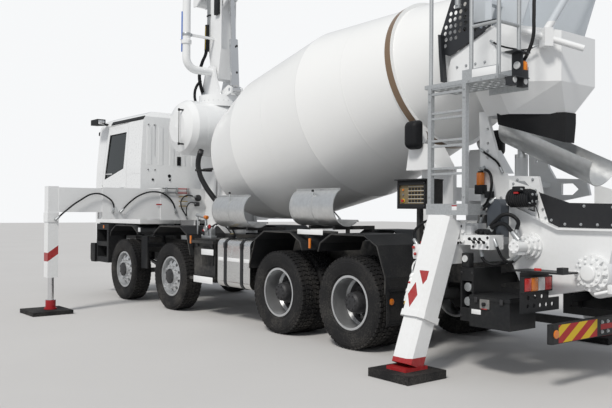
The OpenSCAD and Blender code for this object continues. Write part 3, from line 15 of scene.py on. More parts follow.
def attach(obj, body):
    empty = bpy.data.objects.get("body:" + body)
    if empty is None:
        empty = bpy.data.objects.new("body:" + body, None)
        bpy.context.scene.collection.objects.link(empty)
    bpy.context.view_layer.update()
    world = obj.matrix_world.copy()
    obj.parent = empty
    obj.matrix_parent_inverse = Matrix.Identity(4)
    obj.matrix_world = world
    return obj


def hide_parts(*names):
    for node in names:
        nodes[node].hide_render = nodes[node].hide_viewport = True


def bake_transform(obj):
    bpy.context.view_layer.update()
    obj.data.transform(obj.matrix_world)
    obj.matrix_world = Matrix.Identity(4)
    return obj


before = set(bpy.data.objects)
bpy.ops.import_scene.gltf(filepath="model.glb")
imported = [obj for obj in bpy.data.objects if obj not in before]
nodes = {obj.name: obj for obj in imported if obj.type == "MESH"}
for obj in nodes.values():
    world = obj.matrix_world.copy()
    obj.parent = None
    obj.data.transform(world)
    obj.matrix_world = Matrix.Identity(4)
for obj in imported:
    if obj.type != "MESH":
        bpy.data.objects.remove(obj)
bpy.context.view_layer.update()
shift_x = 3.705  # the drawings below count X from the first axle
SIDES = ((1, "left"), (-1, "right"))

# %% [markdown]
# Shader maths reads best as plain expressions. A small class wraps one socket and knows how to
# add, multiply and mix, and one method makes any other node. Every finish below is written with it.

# %% A small language for shader nodes


class Sock:
    def __init__(self, tree, socket):
        self.tree, self.socket = tree, socket

    def node(self, kind, settings=None, output=0, **inputs):
        made = self.tree.nodes.new(kind)
        for key, value in (settings or {}).items():
            if key == "stops":
                ramp = made.color_ramp
                while len(ramp.elements) < len(value):
                    ramp.elements.new(0.5)
                for element, (place, colour) in zip(ramp.elements, value):
                    element.position, element.color = place, colour
            else:
                setattr(made, key, value)
        for key, value in inputs.items():
            slot = made.inputs[int(key[1:])] if key[0] == "i" and key[1:].isdigit() else made.inputs[key]
            if isinstance(value, Sock):
                self.tree.links.new(value.socket, slot)
            else:
                slot.default_value = value
        return Sock(self.tree, made.outputs[output])

    def math(self, operation, *values):
        return self.node("ShaderNodeMath", {"operation": operation},
                         **{f"i{k}": v for k, v in enumerate(values)})

    def __add__(self, other):
        return self.math("ADD", self, other)

    __radd__ = __add__

    def __mul__(self, other):
        return self.math("MULTIPLY", self, other)

    __rmul__ = __mul__

    def __sub__(self, other):
        return self.math("SUBTRACT", self, other)

    def __rsub__(self, other):
        return self.math("SUBTRACT", other, self)

    def __truediv__(self, other):
        return self.math("DIVIDE", self, other)

    def __gt__(self, other):
        return self.math("GREATER_THAN", self, other)

    def __lt__(self, other):
        return self.math("LESS_THAN", self, other)

    def clamp(self, low=0.0, high=1.0):
        return self.math("MINIMUM", self.math("MAXIMUM", self, low), high)

    def smooth(self, low, high):
        return self.node("ShaderNodeMapRange", {"interpolation_type": "SMOOTHSTEP"},
                         i0=self, i1=low, i2=high, i3=0.0, i4=1.0)

    def mix(self, low, high):
        """A colour between low and high."""
        made = self.node("ShaderNodeMix", {"data_type": "RGBA"}, output=2, i0=self)
        for index, colour in ((6, low), (7, high)):
            slot = made.socket.node.inputs[index]
            if isinstance(colour, Sock):
                self.tree.links.new(colour.socket, slot)
            else:
                slot.default_value = (*colour[:3], 1)
        return made


def material(name, roughness=0.5, metallic=0.0, coat=0.0, **fixed):
    """An empty Principled material, with helpers for its place and its sockets."""
    made = bpy.data.materials.new(name)
    made.use_nodes = True
    shader = made.node_tree.nodes["Principled BSDF"]
    shader.inputs["Roughness"].default_value = roughness
    shader.inputs["Metallic"].default_value = metallic
    shader.inputs["Coat Weight"].default_value = coat
    for key, value in fixed.items():
        shader.inputs[key.replace("_", " ")].default_value = value
    place = Sock(made.node_tree, None).node("ShaderNodeTexCoord", output=3)
    return made, shader, place


def feed(shader, name, value):
    shader.id_data.links.new(value.socket, shader.inputs[name])


def bump(shader, height, strength=0.3, distance=0.002):
    made = height.node("ShaderNodeBump", Height=height, Strength=strength, Distance=distance)
    feed(shader, "Normal", made)


def noise(place, scale, detail=3.0, rough=0.55):
    return place.node("ShaderNodeTexNoise", Vector=place, Scale=scale, Detail=detail, Roughness=rough)


def axis(place, index):
    return place.node("ShaderNodeSeparateXYZ", output=index, Vector=place)


# %% [markdown]
# Truck paint is a smooth gloss coat, but it is never one flat value. Road dust gathers low down,
# a faint orange peel breaks up the reflections, and the roughness drifts a little. The same
# recipe makes the white, the black and the red paint, with other colours and amounts.

# %% Painted finishes
ROAD_DUST, DARK_DUST = (0.42, 0.39, 0.34), (0.2, 0.185, 0.165)


def truck_place(place):
    """X from the first axle, Y to the left and Z up, each as a value of its own."""
    return axis(place, 0) - shift_x, axis(place, 1), axis(place, 2)


def inside(value, low, high):
    return (value > low) * (value < high)


def size_of(value):
    return value.math("ABSOLUTE", value)


def fraction(value):
    return value.math("FRACT", value)


def paint(name, colour, rough=0.32, dust=0.25, coat=0.4, peel=0.05, areas=None, relief=None):
    """Gloss paint. areas gives (mask, colour, roughness) of other places, relief a height in metres."""
    made, shader, place = material(name, roughness=rough, coat=coat, Coat_Roughness=0.08,
                                   Specular_IOR_Level=0.25)
    patches = noise(place, 1.7, 4)
    fine = noise(place, 26.0, 5, 0.65)
    low = 1.0 - axis(place, 2).smooth(0.25, 2.2)
    grime = (low * 0.65 + 0.2) * (patches * 0.7 + fine * 0.6).smooth(0.45, 0.95) * dust
    tone = patches.mix([c * 0.96 for c in colour], [min(1, c * 1.02) for c in colour])
    gloss = fine * 0.12 + rough - 0.06
    lacquer = None
    for mask, shade, dull in (areas(*truck_place(place)) if areas else ()):
        tone = mask.mix(tone, shade)
        gloss = gloss + mask * (dull - rough)
        if max(shade[:3]) < 0.1:
            grime = grime * (1.0 - mask * 0.75)
            lacquer = (lacquer if lacquer else coat) * (1.0 - mask * 0.8)
    if lacquer:
        feed(shader, "Coat Weight", lacquer)
    feed(shader, "Base Color", grime.clamp().mix(tone, ROAD_DUST))
    feed(shader, "Roughness", (gloss + grime * 0.5).clamp(0.05, 0.95))
    height = noise(place, 420.0, 2) * 0.0006 * peel
    if relief:
        height = height + relief(*truck_place(place))
    bump(shader, height, 1.0, 1.0)
    return made


BLACK, RED, AMBER = (0.011, 0.012, 0.014), (0.36, 0.012, 0.016), (0.85, 0.26, 0.01)
TRUCK_WHITE, LAMP_WHITE, ZINC_GREY = (0.83, 0.84, 0.845), (0.8, 0.8, 0.8), (0.50, 0.53, 0.56)

white_paint = paint("white_paint", TRUCK_WHITE, rough=0.3, dust=0.18)
black_paint = paint("black_paint", (0.016, 0.017, 0.019), rough=0.4, dust=0.3, coat=0.06, peel=0.12)
grey_paint = paint("grey_paint", (0.16, 0.165, 0.17), rough=0.5, dust=0.6, coat=0.0)
red_paint = paint("red_paint", (0.38, 0.015, 0.016), rough=0.35, dust=0.15)

# %% [markdown]
# The cab has a seam across its side panel and stiffening ribs pressed into its rear wall, which the
# CAD shell leaves flat. Both are relief in the paint.

# %% The cab's paint


def cab_relief(x, y, z):
    seam = (1.0 - (size_of(z - 2.2) / 0.004).clamp()) * inside(x, -0.46, 0.09) * (size_of(y) > 1.1)
    wave = fraction(y / 0.22)
    on_rear_wall = inside(z, 2.36, 3.02) * (x < -0.468) * (size_of(y) < 1.05)
    rib = (1.0 - ((size_of(wave - 0.5) - 0.16) / 0.1).clamp()) * on_rear_wall
    return rib * 0.006 - seam * 0.003


cab_paint = paint("cab_paint", TRUCK_WHITE, rough=0.28, dust=0.06, relief=cab_relief)

# %% [markdown]
# The drum is one long painted shell. What shows that it is welded from plates are faint raised
# seams round it, so the bump has a narrow ridge at each of them. The riding ring near its mouth
# has no paint, and its rubbed steel has turned brown.

# %% The drum's paint
drum_tilt, drum_x, drum_z = math.radians(12.68), -2.0, 2.275
ring_s, shell_seams = 4.31, (0.45, 1.32, 2.12, 2.9, 3.62)


def along_the_drum(x, z):
    return (x - drum_x) * -math.cos(drum_tilt) + (z - drum_z) * math.sin(drum_tilt)


def drum_areas(x, y, z):
    s = along_the_drum(x, z)
    return [(inside(s, ring_s - 0.045, ring_s + 0.045), (0.20, 0.135, 0.085), 0.42),
            (inside(s, 5.13, 5.3), (0.36, 0.35, 0.33), 0.7)]


def drum_relief(x, y, z):
    s = along_the_drum(x, z)
    ridge = 0.0
    for seam in shell_seams:
        ridge = (1.0 - (size_of(s - seam) / 0.014).clamp()) * 0.0022 + ridge
    return ridge


drum_paint = paint("drum_paint", (0.84, 0.845, 0.84), rough=0.33, dust=0.1, coat=0.3, areas=drum_areas,
                   relief=drum_relief)

# %% [markdown]
# Outrigger legs are white with red warning marks: a slanted band round the front legs, diamonds on
# the outer face of the rear sleeves, and red feet. On the rear frame the bumper, tool boxes and lock
# frames are black, and each lamp has four fields, red, amber, white and red from outside to inside.

# %% Paint of the legs and the rear frame
leg_y, rear_tilt = 2.86, math.radians(21)
lamp_in, lamp_out = 0.795, 1.215


def front_leg_areas(x, y, z):
    slanted = z + (size_of(y) - leg_y) * 0.7
    return [(inside(slanted, 0.84, 0.97) * (size_of(y) > 2.7), RED, 0.4)]


def foot_areas(x, y, z):
    return [(z < 0.2, RED, 0.4)]


def diamond(across, up, wide, high):
    return (size_of(across) / wide + size_of(up) / high) < 1.0


def rear_frame_areas(x, y, z):
    wide = size_of(y)
    outer = wide > (1.49 - z) * math.tan(rear_tilt) + 1.28
    upper_mark = diamond(x + 7.345, z - 1.0, 0.085, 0.125) * inside(x, -7.378, -7.2) * (z < 1.005)
    marks = diamond(x + 7.25, z - 0.775, 0.062, 0.118) + upper_mark
    filter_box = inside(x, -7.752, -7.57) * inside(y, 0.5, 0.91) * inside(z, 1.32, 1.75)
    areas = [(marks.clamp() * outer * inside(x, -7.42, -7.14), RED, 0.4),
             ((x < -7.43) * (z < 1.15) * (wide < 1.25), BLACK, 0.5),
             (filter_box, (0.07, 0.08, 0.095), 0.45)]
    stripe = fraction((wide + z * 1.67 - 1.788) / -0.28)
    on_bumper = (x < -8.519) * inside(z, 0.436, 0.594)
    areas.append((on_bumper * inside(wide, 0.5, 1.125), RED, 0.3))
    areas.append((on_bumper * inside(wide, 0.5, 1.125) * (stripe < 0.5), (0.62, 0.42, 0.01), 0.3))
    areas.append((on_bumper * inside(wide, 0.06, 0.44) * inside(z, 0.49, 0.54), RED, 0.3))
    on_lamp = (x < -8.1985) * inside(z, 0.858, 0.982)
    quarter = (lamp_out - lamp_in) / 4
    for k, colour in enumerate((RED, LAMP_WHITE, AMBER, RED)):
        field = inside(wide, lamp_in + quarter * k, lamp_in + quarter * (k + 1))
        areas.append((on_lamp * field, [min(1, c * 1.25) for c in colour], 0.12))
    return areas


beam_paint = paint("beam_paint", TRUCK_WHITE, rough=0.3, dust=0.18, areas=front_leg_areas)
rear_leg_paint = paint("rear_leg_paint", TRUCK_WHITE, rough=0.3, dust=0.15, areas=foot_areas)
rear_frame_paint = paint("rear_frame_paint", TRUCK_WHITE, rough=0.32, dust=0.2, areas=rear_frame_areas)

# %% [markdown]
# At the rear, rubber splash guards stand on the white pump hopper, and the feed funnel over the drum's
# mouth is painted the cool blue-grey of its shaded side, as painted shade. The control box has a tan key
# panel.

# %% Paint of the hoppers and boxes


def pump_areas(x, y, z):
    wide = size_of(y)
    guard_edge = (x < (z - 1.76) * 0.371 - 8.0865) * (z > (x + 8.3).clamp() * 0.418 + 1.4345)
    guard = inside(wide, 0.766, 0.7803) * guard_edge
    rear_guard = (x < -8.837) * (z > 1.434)
    vibrator = (y > 0.7805) * (z > 1.637) + (y > 0.8205) * (z > 1.61)
    return [((guard + rear_guard).clamp() * (z < 1.765), (0.02, 0.021, 0.024), 0.6),
            (inside(x, -8.11, -7.81) * vibrator.clamp(), BLACK, 0.5),
            (inside(z, 1.375, 1.41) * (wide < 0.765) * (x > -8.835), (0.3, 0.3, 0.3), 0.5)]


def hopper_shade_and_zinc_areas(x, y, z):
    # Painted shade: the feed funnel above z 3.465 takes the blue-grey of its shaded side all over.
    return [((z > 3.465) * (z < 4.5), (0.60, 0.64, 0.68), 0.38),
            (inside(x, -7.7, -6.8) * inside(y, -0.243, 0.243) * (z > 3.2), ZINC_GREY, 0.5)]


def box_areas(x, y, z):
    panel = inside(x, -6.985, -6.615) * (y > 1.12) * inside(z, 1.652, 1.848) * (y < 1.1505)
    return [(panel, (0.20, 0.155, 0.085), 0.45)]


def strap_areas(x, y, z):
    return [((inside(x, -3.747, -3.683) + inside(x, -3.332, -3.268)).clamp(), BLACK, 0.5)]


pump_paint = paint("pump_paint", TRUCK_WHITE, rough=0.32, dust=0.2, areas=pump_areas)
hopper_paint = paint("hopper_paint", TRUCK_WHITE, rough=0.32, dust=0.15, areas=hopper_shade_and_zinc_areas)
box_paint = paint("box_paint", BLACK, rough=0.42, dust=0.3, coat=0.06, peel=0.12, areas=box_areas)

# %% [markdown]
# Moulded parts are duller than paint and carry a fine grain. Tyres are duller still, with
# grey dust in the rubber. Both recipes are noise at two scales, one for colour and one for bump.

# %% Plastic and rubber


def moulded(name, colour, rough=0.6, grain=900.0, dust=0.35, strength=0.25):
    made, shader, place = material(name, roughness=rough, Specular_IOR_Level=0.15)
    cloud = noise(place, 3.5, 4)
    fine = noise(place, 60.0, 4)
    low = 1.0 - axis(place, 2).smooth(0.2, 1.6)
    grime = (cloud * 0.6 + fine * 0.6).smooth(0.5, 1.0) * (low * 0.7 + 0.25) * dust
    feed(shader, "Base Color", grime.clamp().mix(colour, DARK_DUST))
    feed(shader, "Roughness", (fine * 0.2 + rough - 0.1).clamp(0.1, 1.0))
    bump(shader, noise(place, grain, 2), strength, 0.0006)
    return made


black_plastic = moulded("black_plastic", (0.02, 0.021, 0.023), 0.55)
pad_plastic = moulded("pad_plastic", (0.018, 0.018, 0.019), 0.75, 300.0, 0.5, 0.5)
tyre_rubber = moulded("tyre_rubber", (0.018, 0.018, 0.019), 0.74, 500.0, 0.5, 0.4)
black_rubber = moulded("black_rubber", (0.013, 0.0135, 0.015), 0.5, 260.0, 0.2, 0.2)

# %% [markdown]
# Bare metals: wheels of painted silver, a polished fuel tank, zinc-dipped steel with its soft
# spangle, and hard chrome on the cylinder rods. Metal takes most of its look from roughness.

# %% Bare metals


def metal(name, colour, rough, spangle=0.0, scale=40.0, dust=0.15, metallic=1.0, areas=None):
    """Bare metal. areas gives (mask, colour, roughness) for places that are painted or rubber."""
    made, shader, place = material(name, roughness=rough, metallic=metallic)
    cells = place.node("ShaderNodeTexVoronoi", {"feature": "SMOOTH_F1"}, output=0,
                       Vector=place, Scale=scale, Smoothness=0.6)
    cloud = noise(place, 5.0, 5, 0.6)
    tone = (cells * spangle + cloud * 0.35).clamp().mix(colour, [c * 0.72 for c in colour])
    grime = cloud.smooth(0.45, 0.85) * dust
    gloss = grime + cells * spangle * 0.35 + rough
    bare = None
    for mask, shade, dull in (areas(*truck_place(place)) if areas else ()):
        tone = mask.mix(tone, shade)
        gloss = gloss * (1.0 - mask) + mask * dull
        bare = (1.0 - mask) if bare is None else bare * (1.0 - mask)
    feed(shader, "Base Color", tone)
    feed(shader, "Roughness", gloss.clamp(0.04, 0.9))
    if bare is not None:
        feed(shader, "Metallic", bare * metallic)
    bump(shader, noise(place, 120.0, 3), 0.08, 0.0008)
    return made


axle_x = (0.0, -1.70, -4.55, -5.90)
axle_z, track_y, twin_pitch = 0.53, 1.09, 0.345


def from_axle(x, z, number):
    """Distance from the nearer of two neighbouring axles."""
    first, second = axle_x[number], axle_x[number + 1]
    near = size_of(x - (first + second) / 2) - (first - second) / 2
    square = near * near + (z - axle_z) * (z - axle_z)
    return square.math("SQRT", square)


def steered_rim_areas(x, y, z):
    return [(from_axle(x, z, 0) < 0.118, (0.03, 0.03, 0.032), 0.5)]


def driven_rim_areas(x, y, z):
    return [(from_axle(x, z, 2) < 0.262, (0.028, 0.028, 0.03), 0.55)]


def ladder_areas(x, y, z):
    guard = inside(y, 0.75, 0.7675) + inside(y, 0.75, 0.825) * (x > -6.95)
    screen = guard.clamp() * inside(x, -7.6, -6.83) * (z > 2.94)
    bracket = (x < -7.9405) * inside(z, 2.7, 3.1)
    beacon = (x < -7.94) * inside(y, 0.885, 0.995) * inside(z, 2.9005, 2.98) * inside(x, -8.06, -7.94)
    return [((screen + bracket).clamp(), (0.02, 0.022, 0.026), 0.5), (beacon, AMBER, 0.15)]


silver = ((0.62, 0.63, 0.64), 0.34, 0.1, 20.0, 0.3, 0.75)
wheel_silver = metal("wheel_silver", *silver)
steered_rim = metal("steered_rim", *silver, steered_rim_areas)
driven_rim = metal("driven_rim", (0.66, 0.67, 0.68), 0.28, 0.1, 20.0, 0.3, 0.8, driven_rim_areas)
dark_steel = metal("dark_steel", (0.055, 0.055, 0.058), 0.45, 0.1, 30.0, 0.3, 0.5)
tank_metal = metal("tank_metal", (0.80, 0.80, 0.79), 0.17, 0.1, 8.0, 0.2, 1.0, strap_areas)
zinc = metal("zinc", (0.56, 0.58, 0.59), 0.38, 0.55, 55.0, 0.2, 0.85)
ladder_zinc = metal("ladder_zinc", (0.58, 0.60, 0.61), 0.4, 0.55, 55.0, 0.2, 0.7, ladder_areas)
chute_zinc = metal("chute_zinc", (0.74, 0.75, 0.75), 0.27, 0.45, 22.0, 0.25, 0.9)
chrome = metal("chrome", (0.8, 0.8, 0.8), 0.09, 0.0, 10.0, 0.05)
leg_chrome = metal("leg_chrome", (0.78, 0.78, 0.79), 0.16, 0.0, 10.0, 0.1, 1.0, foot_areas)
cast = metal("cast", (0.17, 0.17, 0.175), 0.55, 0.1, 30.0, 0.3, 0.6)
brass = metal("brass", (0.62, 0.45, 0.18), 0.35, 0.1, 30.0, 0.3, 0.9)

# %% [markdown]
# The cab's tinted glass lets only a little light through, so it is dark with a sharp reflection.
# Lamps are glossy, with fine ribs in colour and in relief.

# %% Glass and lamps


def glass(name, colour, clear=0.9, rough=0.03):
    made, shader, place = material(name, roughness=rough, coat=0.3, Transmission_Weight=clear, IOR=1.45)
    haze = noise(place, 2.0, 3)
    feed(shader, "Base Color", haze.mix(colour, [c * 0.8 for c in colour]))
    feed(shader, "Roughness", haze * 0.04 + rough)
    return made


cab_glass = glass("cab_glass", (0.012, 0.018, 0.016), 0.25)


def lens(name, colour, ribs=90.0):
    made, shader, place = material(name, roughness=0.15, coat=0.6, Coat_Roughness=0.05)
    wave = place.node("ShaderNodeTexWave", {"wave_type": "BANDS", "bands_direction": "Z"}, Vector=place,
                      Scale=ribs)
    feed(shader, "Base Color", wave.mix(colour, [c * 0.7 for c in colour]))
    feed(shader, "Roughness", wave * 0.1 + 0.1)
    bump(shader, wave, 0.3, 0.001)
    return made


red_lens = lens("red_lens", (0.55, 0.012, 0.01))
amber_lens = lens("amber_lens", (0.75, 0.2, 0.01))
clear_lens = lens("clear_lens", (0.75, 0.76, 0.76))
yellow_film = lens("yellow_film", (0.75, 0.52, 0.02), 400.0)

# %% [markdown]
# Each CAD node now gets its finish. The table names nodes by the start of their names, and the
# first rule that fits wins, so a special case comes before a general one.

# %% Give every CAD node a finish
finish_of = [("tyre", tyre_rubber), ("rim_1", steered_rim), ("rim_2", steered_rim), ("rim", driven_rim),
             ("knuckle", cast), ("axles", cast), ("engine", grey_paint), ("chassis", black_paint),
             ("front_bumper", black_plastic), ("mudguards", black_plastic), ("fuel_tank", tank_metal),
             ("side_boxes", box_paint), ("stage_2", beam_paint), ("windscreen", cab_glass),
             ("door_glass", cab_glass), ("cab_trim", black_plastic), ("front_leg", leg_chrome),
             ("luff", chrome), ("outrigger_pads", pad_plastic), ("drum_stands", white_paint),
             ("rear_leg", rear_leg_paint), ("rear_frame", rear_frame_paint), ("pump_hopper", pump_paint),
             ("charging_hopper", hopper_paint), ("drum", drum_paint), ("cab", cab_paint),
             ("chute", chute_zinc), ("access_ladder", ladder_zinc), ("", white_paint)]
for name, node in nodes.items():
    chosen = next(made for start, made in finish_of if name.startswith(start))
    node.data.materials.clear()
    node.data.materials.append(chosen)
print("finished nodes:", len(nodes))

# %% [markdown]
# The steps of hand modelling come back all the time: add a primitive, select some faces by where
# they are, cut or push them, round the edges, and fix the place in the mesh. Small helpers keep
# each later cell about the piece itself. Places are given in the truck's own frame, in metres.

# %% Modelling helpers


def at(x, y, z):
    return Vector((x + shift_x, y, z))


def alone(piece):
    """Leaves edit mode and selects this piece only."""
    if bpy.context.mode != "OBJECT":
        bpy.ops.object.mode_set(mode="OBJECT")
    bpy.ops.object.select_all(action="DESELECT")
    piece.select_set(True)
    bpy.context.view_layer.objects.active = piece
    return piece


def fix_place(piece):
    alone(piece)
    bpy.ops.object.transform_apply(location=True, rotation=True, scale=True)
    return piece


def start(kind, name, **options):
    """A primitive with its place fixed in the mesh."""
    bpy.ops.object.select_all(action="DESELECT")
    getattr(bpy.ops.mesh, f"primitive_{kind}_add")(**options)
    piece = bpy.context.object
    piece.name = name
    return fix_place(piece)


def edit(piece, action="SELECT"):
    """Edit mode with all or none of the piece selected."""
    alone(piece)
    bpy.ops.object.mode_set(mode="EDIT")
    bpy.ops.mesh.select_all(action=action)


def pick(piece, test):
    """Edit mode with the faces selected whose centre and normal pass the test."""
    edit(piece, "DESELECT")
    bpy.ops.mesh.select_mode(type="FACE")
    bpy.ops.object.mode_set(mode="OBJECT")
    for face in piece.data.polygons:
        face.select = bool(test(face.center, face.normal))
    bpy.ops.object.mode_set(mode="EDIT")


def rounded(piece, width, segments=2):
    alone(piece)
    edge = piece.modifiers.new("edge", "BEVEL")
    edge.width, edge.segments, edge.limit_method, edge.angle_limit = width, segments, "ANGLE", 0.6
    bpy.ops.object.modifier_apply(modifier="edge")
    return piece


def joined(name, pieces):
    alone(pieces[0])
    for piece in pieces[1:]:
        piece.select_set(True)
    if len(pieces) > 1:
        bpy.ops.object.join()
    pieces[0].name = name
    return pieces[0]


def copied(piece, name, move):
    """A copy with its own mesh, moved by a matrix in its mesh."""
    twin = piece.copy()
    twin.data = piece.data.copy()
    twin.name = name
    twin.data.transform(move)
    bpy.context.collection.objects.link(twin)
    return twin


def done(piece, finish, body="chassis", smooth=32):
    """Place in the mesh, smooth shading up to an angle, a finish, and the body it moves with."""
    fix_place(piece)
    bpy.ops.object.shade_smooth_by_angle(angle=math.radians(smooth))
    piece.data.materials.clear()
    piece.data.materials.append(finish)
    if body:
        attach(piece, body)
    return piece


def group(name, pieces, finish, body="chassis", smooth=32):
    """Some pieces made into one, then finished."""
    return done(joined(name, pieces), finish, body, smooth)


def block(name, a, b, edge=0.004):
    """A box between two corners of the truck's frame, with rounded edges."""
    low, high = (Vector([choose(pair) for pair in zip(at(*a), at(*b))]) for choose in (min, max))
    size = high - low
    piece = start("cube", name, size=1, location=(low + high) / 2, scale=size)
    return rounded(piece, min(edge, 0.4 * min(size)))


def rod(name, a, b, radius, sides=24, edge=0.15):
    """A round bar from a to b with its rims rounded."""
    a, b = at(*a), at(*b)
    piece = start("cylinder", name, vertices=sides, radius=radius, depth=(b - a).length, location=(a + b) / 2,
                  rotation=(b - a).to_track_quat("Z", "Y").to_euler())
    return rounded(piece, radius * edge)


def turned(name, centre, profile, sides=64, side=1):
    """A turned part round an axis along Y: a ring drawn out along (radius, offset) points."""
    centre = at(*centre)
    radius, offset = profile[0]
    piece = start("circle", name, vertices=sides, radius=radius,
                  location=centre + Vector((0, side * offset, 0)), rotation=(math.pi / 2, 0, 0))
    edit(piece)
    for wide, far in profile[1:]:
        bpy.ops.mesh.extrude_edges_move(TRANSFORM_OT_translate={"value": (0, side * (far - offset), 0)})
        middle = centre + Vector((0, side * far, 0))
        bpy.ops.transform.resize(value=(wide / radius, 1, wide / radius), center_override=middle)
        radius, offset = wide, far
    bpy.ops.object.mode_set(mode="OBJECT")
    return piece


def outward(piece):
    """Merges doubles and turns every face outwards."""
    edit(piece)
    bpy.ops.mesh.remove_doubles(threshold=0.00005)
    bpy.ops.mesh.normals_make_consistent(inside=False)
    bpy.ops.object.mode_set(mode="OBJECT")
    return piece


def lathe(name, centre, profile, finish, body="chassis", sides=64, side=1):
    """A turned part with closed seams and a finish."""
    return done(outward(turned(name, centre, profile, sides, side)), finish, body)


def hose(name, route, radius, body="chassis", finish=black_rubber, sleeves=True):
    """A fitted line on one smooth curve through its points, with a crimped sleeve at each end."""
    shape = bpy.data.curves.new(name, "CURVE")
    shape.dimensions, shape.bevel_depth, shape.bevel_resolution = "3D", radius, 3
    shape.resolution_u, shape.use_fill_caps = 8, True
    line = shape.splines.new("BEZIER")
    line.bezier_points.add(len(route) - 1)
    for knot, point in zip(line.bezier_points, route):
        knot.co = at(*point)
        knot.handle_left_type = knot.handle_right_type = "AUTO"
    piece = bpy.data.objects.new(name, shape)
    bpy.context.collection.objects.link(piece)
    alone(piece)
    bpy.ops.object.convert(target="MESH")
    piece = bpy.context.object
    if sleeves:
        for number, (end, near) in enumerate(((route[0], route[1]), (route[-1], route[-2]))):
            way = (Vector(near) - Vector(end)).normalized()
            sleeve = rod(f"{name}.sleeve_{number}", Vector(end) - way * radius,
                         Vector(end) + way * radius * 5, radius * 1.35, 16)
            done(sleeve, zinc, body)
    return done(piece, finish, body)


# %% [markdown]
# A truck tyre is a turned body with a thin bead, a bulging side wall with a few raised rings, and
# square shoulders. The CAD tyre has that outline but no tread. Here the body is drawn out ring by
# ring, and one pitch of tread, a row of five blocks, is modelled once and copied round it. The
# dressed tyre then stands for the CAD one, which the simulation keeps.

# %% Tyres with tread
pitches, tread_base = 54, 0.505
# Points of half the outline, as (radius, distance from the tyre's middle).
half_profile = [(0.300, 0.106), (0.315, 0.110), (0.321, 0.126), (0.331, 0.137), (0.334, 0.143),
                (0.339, 0.143), (0.343, 0.139), (0.372, 0.1495), (0.400, 0.1538), (0.430, 0.1548),
                (0.447, 0.1537), (0.449, 0.1549), (0.456, 0.1549), (0.458, 0.1532), (0.472, 0.1510),
                (0.474, 0.1520), (0.479, 0.1515), (0.482, 0.1480), (0.499, 0.1400), (0.508, 0.1300),
                (0.5135, 0.1150), (0.5150, 0.0600)]
outline = [(r, -y) for r, y in half_profile] + [(r, y) for r, y in reversed(half_profile)]
tyre_body = turned("tyre_body", (0, 0, axle_z), outline, sides=96)
edit(tyre_body, "DESELECT")
bpy.ops.mesh.select_mode(type="EDGE")
bpy.ops.mesh.select_non_manifold()
bpy.ops.mesh.bridge_edge_loops()
bpy.ops.mesh.select_mode(type="FACE")
outward(tyre_body)

# One pitch of tread lies on top of the wheel. The shoulder blocks stand straight, the inner ones
# slant. Each row gives a block's middle, width, slant and step along the tread.
tread_rows = [(-0.113, 0.030, 0.0, 0.0), (-0.057, 0.046, 0.30, 0.013), (0.0, 0.044, -0.35, 0.0),
              (0.057, 0.046, 0.30, 0.013), (0.113, 0.030, 0.0, 0.0)]
lugs = []
for number, (middle, width, slant, step) in enumerate(tread_rows):
    shoulder = abs(middle) > 0.1
    high = 0.5255 if shoulder else 0.5290
    length = 0.046 if shoulder else 0.050
    lug = start("cube", f"lug_{number}", size=1, location=at(step, middle, axle_z + (tread_base + high) / 2),
                rotation=(0, 0, slant), scale=(length, width + (0.012 if shoulder else 0), high - tread_base))
    pick(lug, lambda centre, normal: normal.z > 0.9)
    bpy.ops.transform.resize(value=(0.88, 0.9, 1), center_override=at(step, middle, axle_z + high))
    if not shoulder:  # a thin sipe across the block
        bpy.ops.mesh.inset(thickness=0.0045, depth=-0.0012)
    lugs.append(alone(lug))
one_pitch = joined("one_pitch", lugs)
hub_line = Matrix.Translation(at(0, 0, axle_z))
ring_of_lugs = []
for k in range(1, pitches):
    step_round = Matrix.Rotation(2 * math.pi * k / pitches, 4, "Y")
    ring_of_lugs.append(copied(one_pitch, f"pitch_{k}", hub_line @ step_round @ hub_line.inverted()))
tyre_master = joined("tyre_master", [tyre_body, one_pitch, *ring_of_lugs])
print("tyre faces:", len(tyre_master.data.polygons))

for number, x in enumerate(axle_x, 1):
    for side, word in SIDES:
        rows = (track_y, track_y - twin_pitch) if number > 2 else (track_y,)
        tyres = [copied(tyre_master, f"tyre_{number}_{word}.{k}", Matrix.Translation((x, side * y, 0)))
                 for k, y in enumerate(rows)]
        dressed = group(f"dressed_tyre_{number}_{word}", tyres, tyre_rubber, f"wheel_{number}_{word}")
        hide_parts(f"tyre_{number}_{word}")
bpy.data.objects.remove(tyre_master)

# %% [markdown]
# Wheel bolts carry the wheel's scale. A flanged nut is a six-sided bar on a turned washer, with a
# stud through it. Ten sit on a circle of 335 mm, on the bulging disc in front and deep in the dish
# behind. The steered hubs also have a dark cap, and the driven ones a flange with its own bolts.

# %% Wheel bolts and hubs
nut = rod("nut", (0, 0, 0), (0, 0.024, 0), 0.0185, sides=6, edge=0.12)
washer = turned("washer", (0, 0, 0), [(0.001, 0.0), (0.024, 0.0), (0.025, 0.003), (0.0235, 0.006),
                (0.019, 0.007), (0.001, 0.007)], sides=20)
stud = rod("stud", (0, 0.02, 0), (0, 0.036, 0), 0.0105, sides=12)
wheel_nut = joined("wheel_nut", [nut, washer, stud])
small_bolt = joined("small_bolt", [rod("head", (0, 0, 0), (0, 0.011, 0), 0.0105, sides=6, edge=0.12),
                                   rod("pad", (0, 0, 0), (0, 0.0025, 0), 0.014, sides=16, edge=0.1)])
to_origin = Matrix.Translation(-at(0, 0, 0))  # masters are modelled under the first axle


def circle_of(master, name, number, radius, centre, side, phase=0.5):
    """Copies of a bolt that points along +Y, round an axle, pointing out on that side."""
    facing = Matrix.Rotation(math.pi, 4, "Z") if side < 0 else Matrix.Identity(4)
    copies = []
    for k in range(number):
        angle = 2 * math.pi * (k + phase) / number
        x, y, z = centre
        move = at(x + radius * math.cos(angle), y, z + radius * math.sin(angle))
        copies.append(copied(master, f"{name}.{k}", Matrix.Translation(move) @ facing @ to_origin))
    return joined(name, copies)


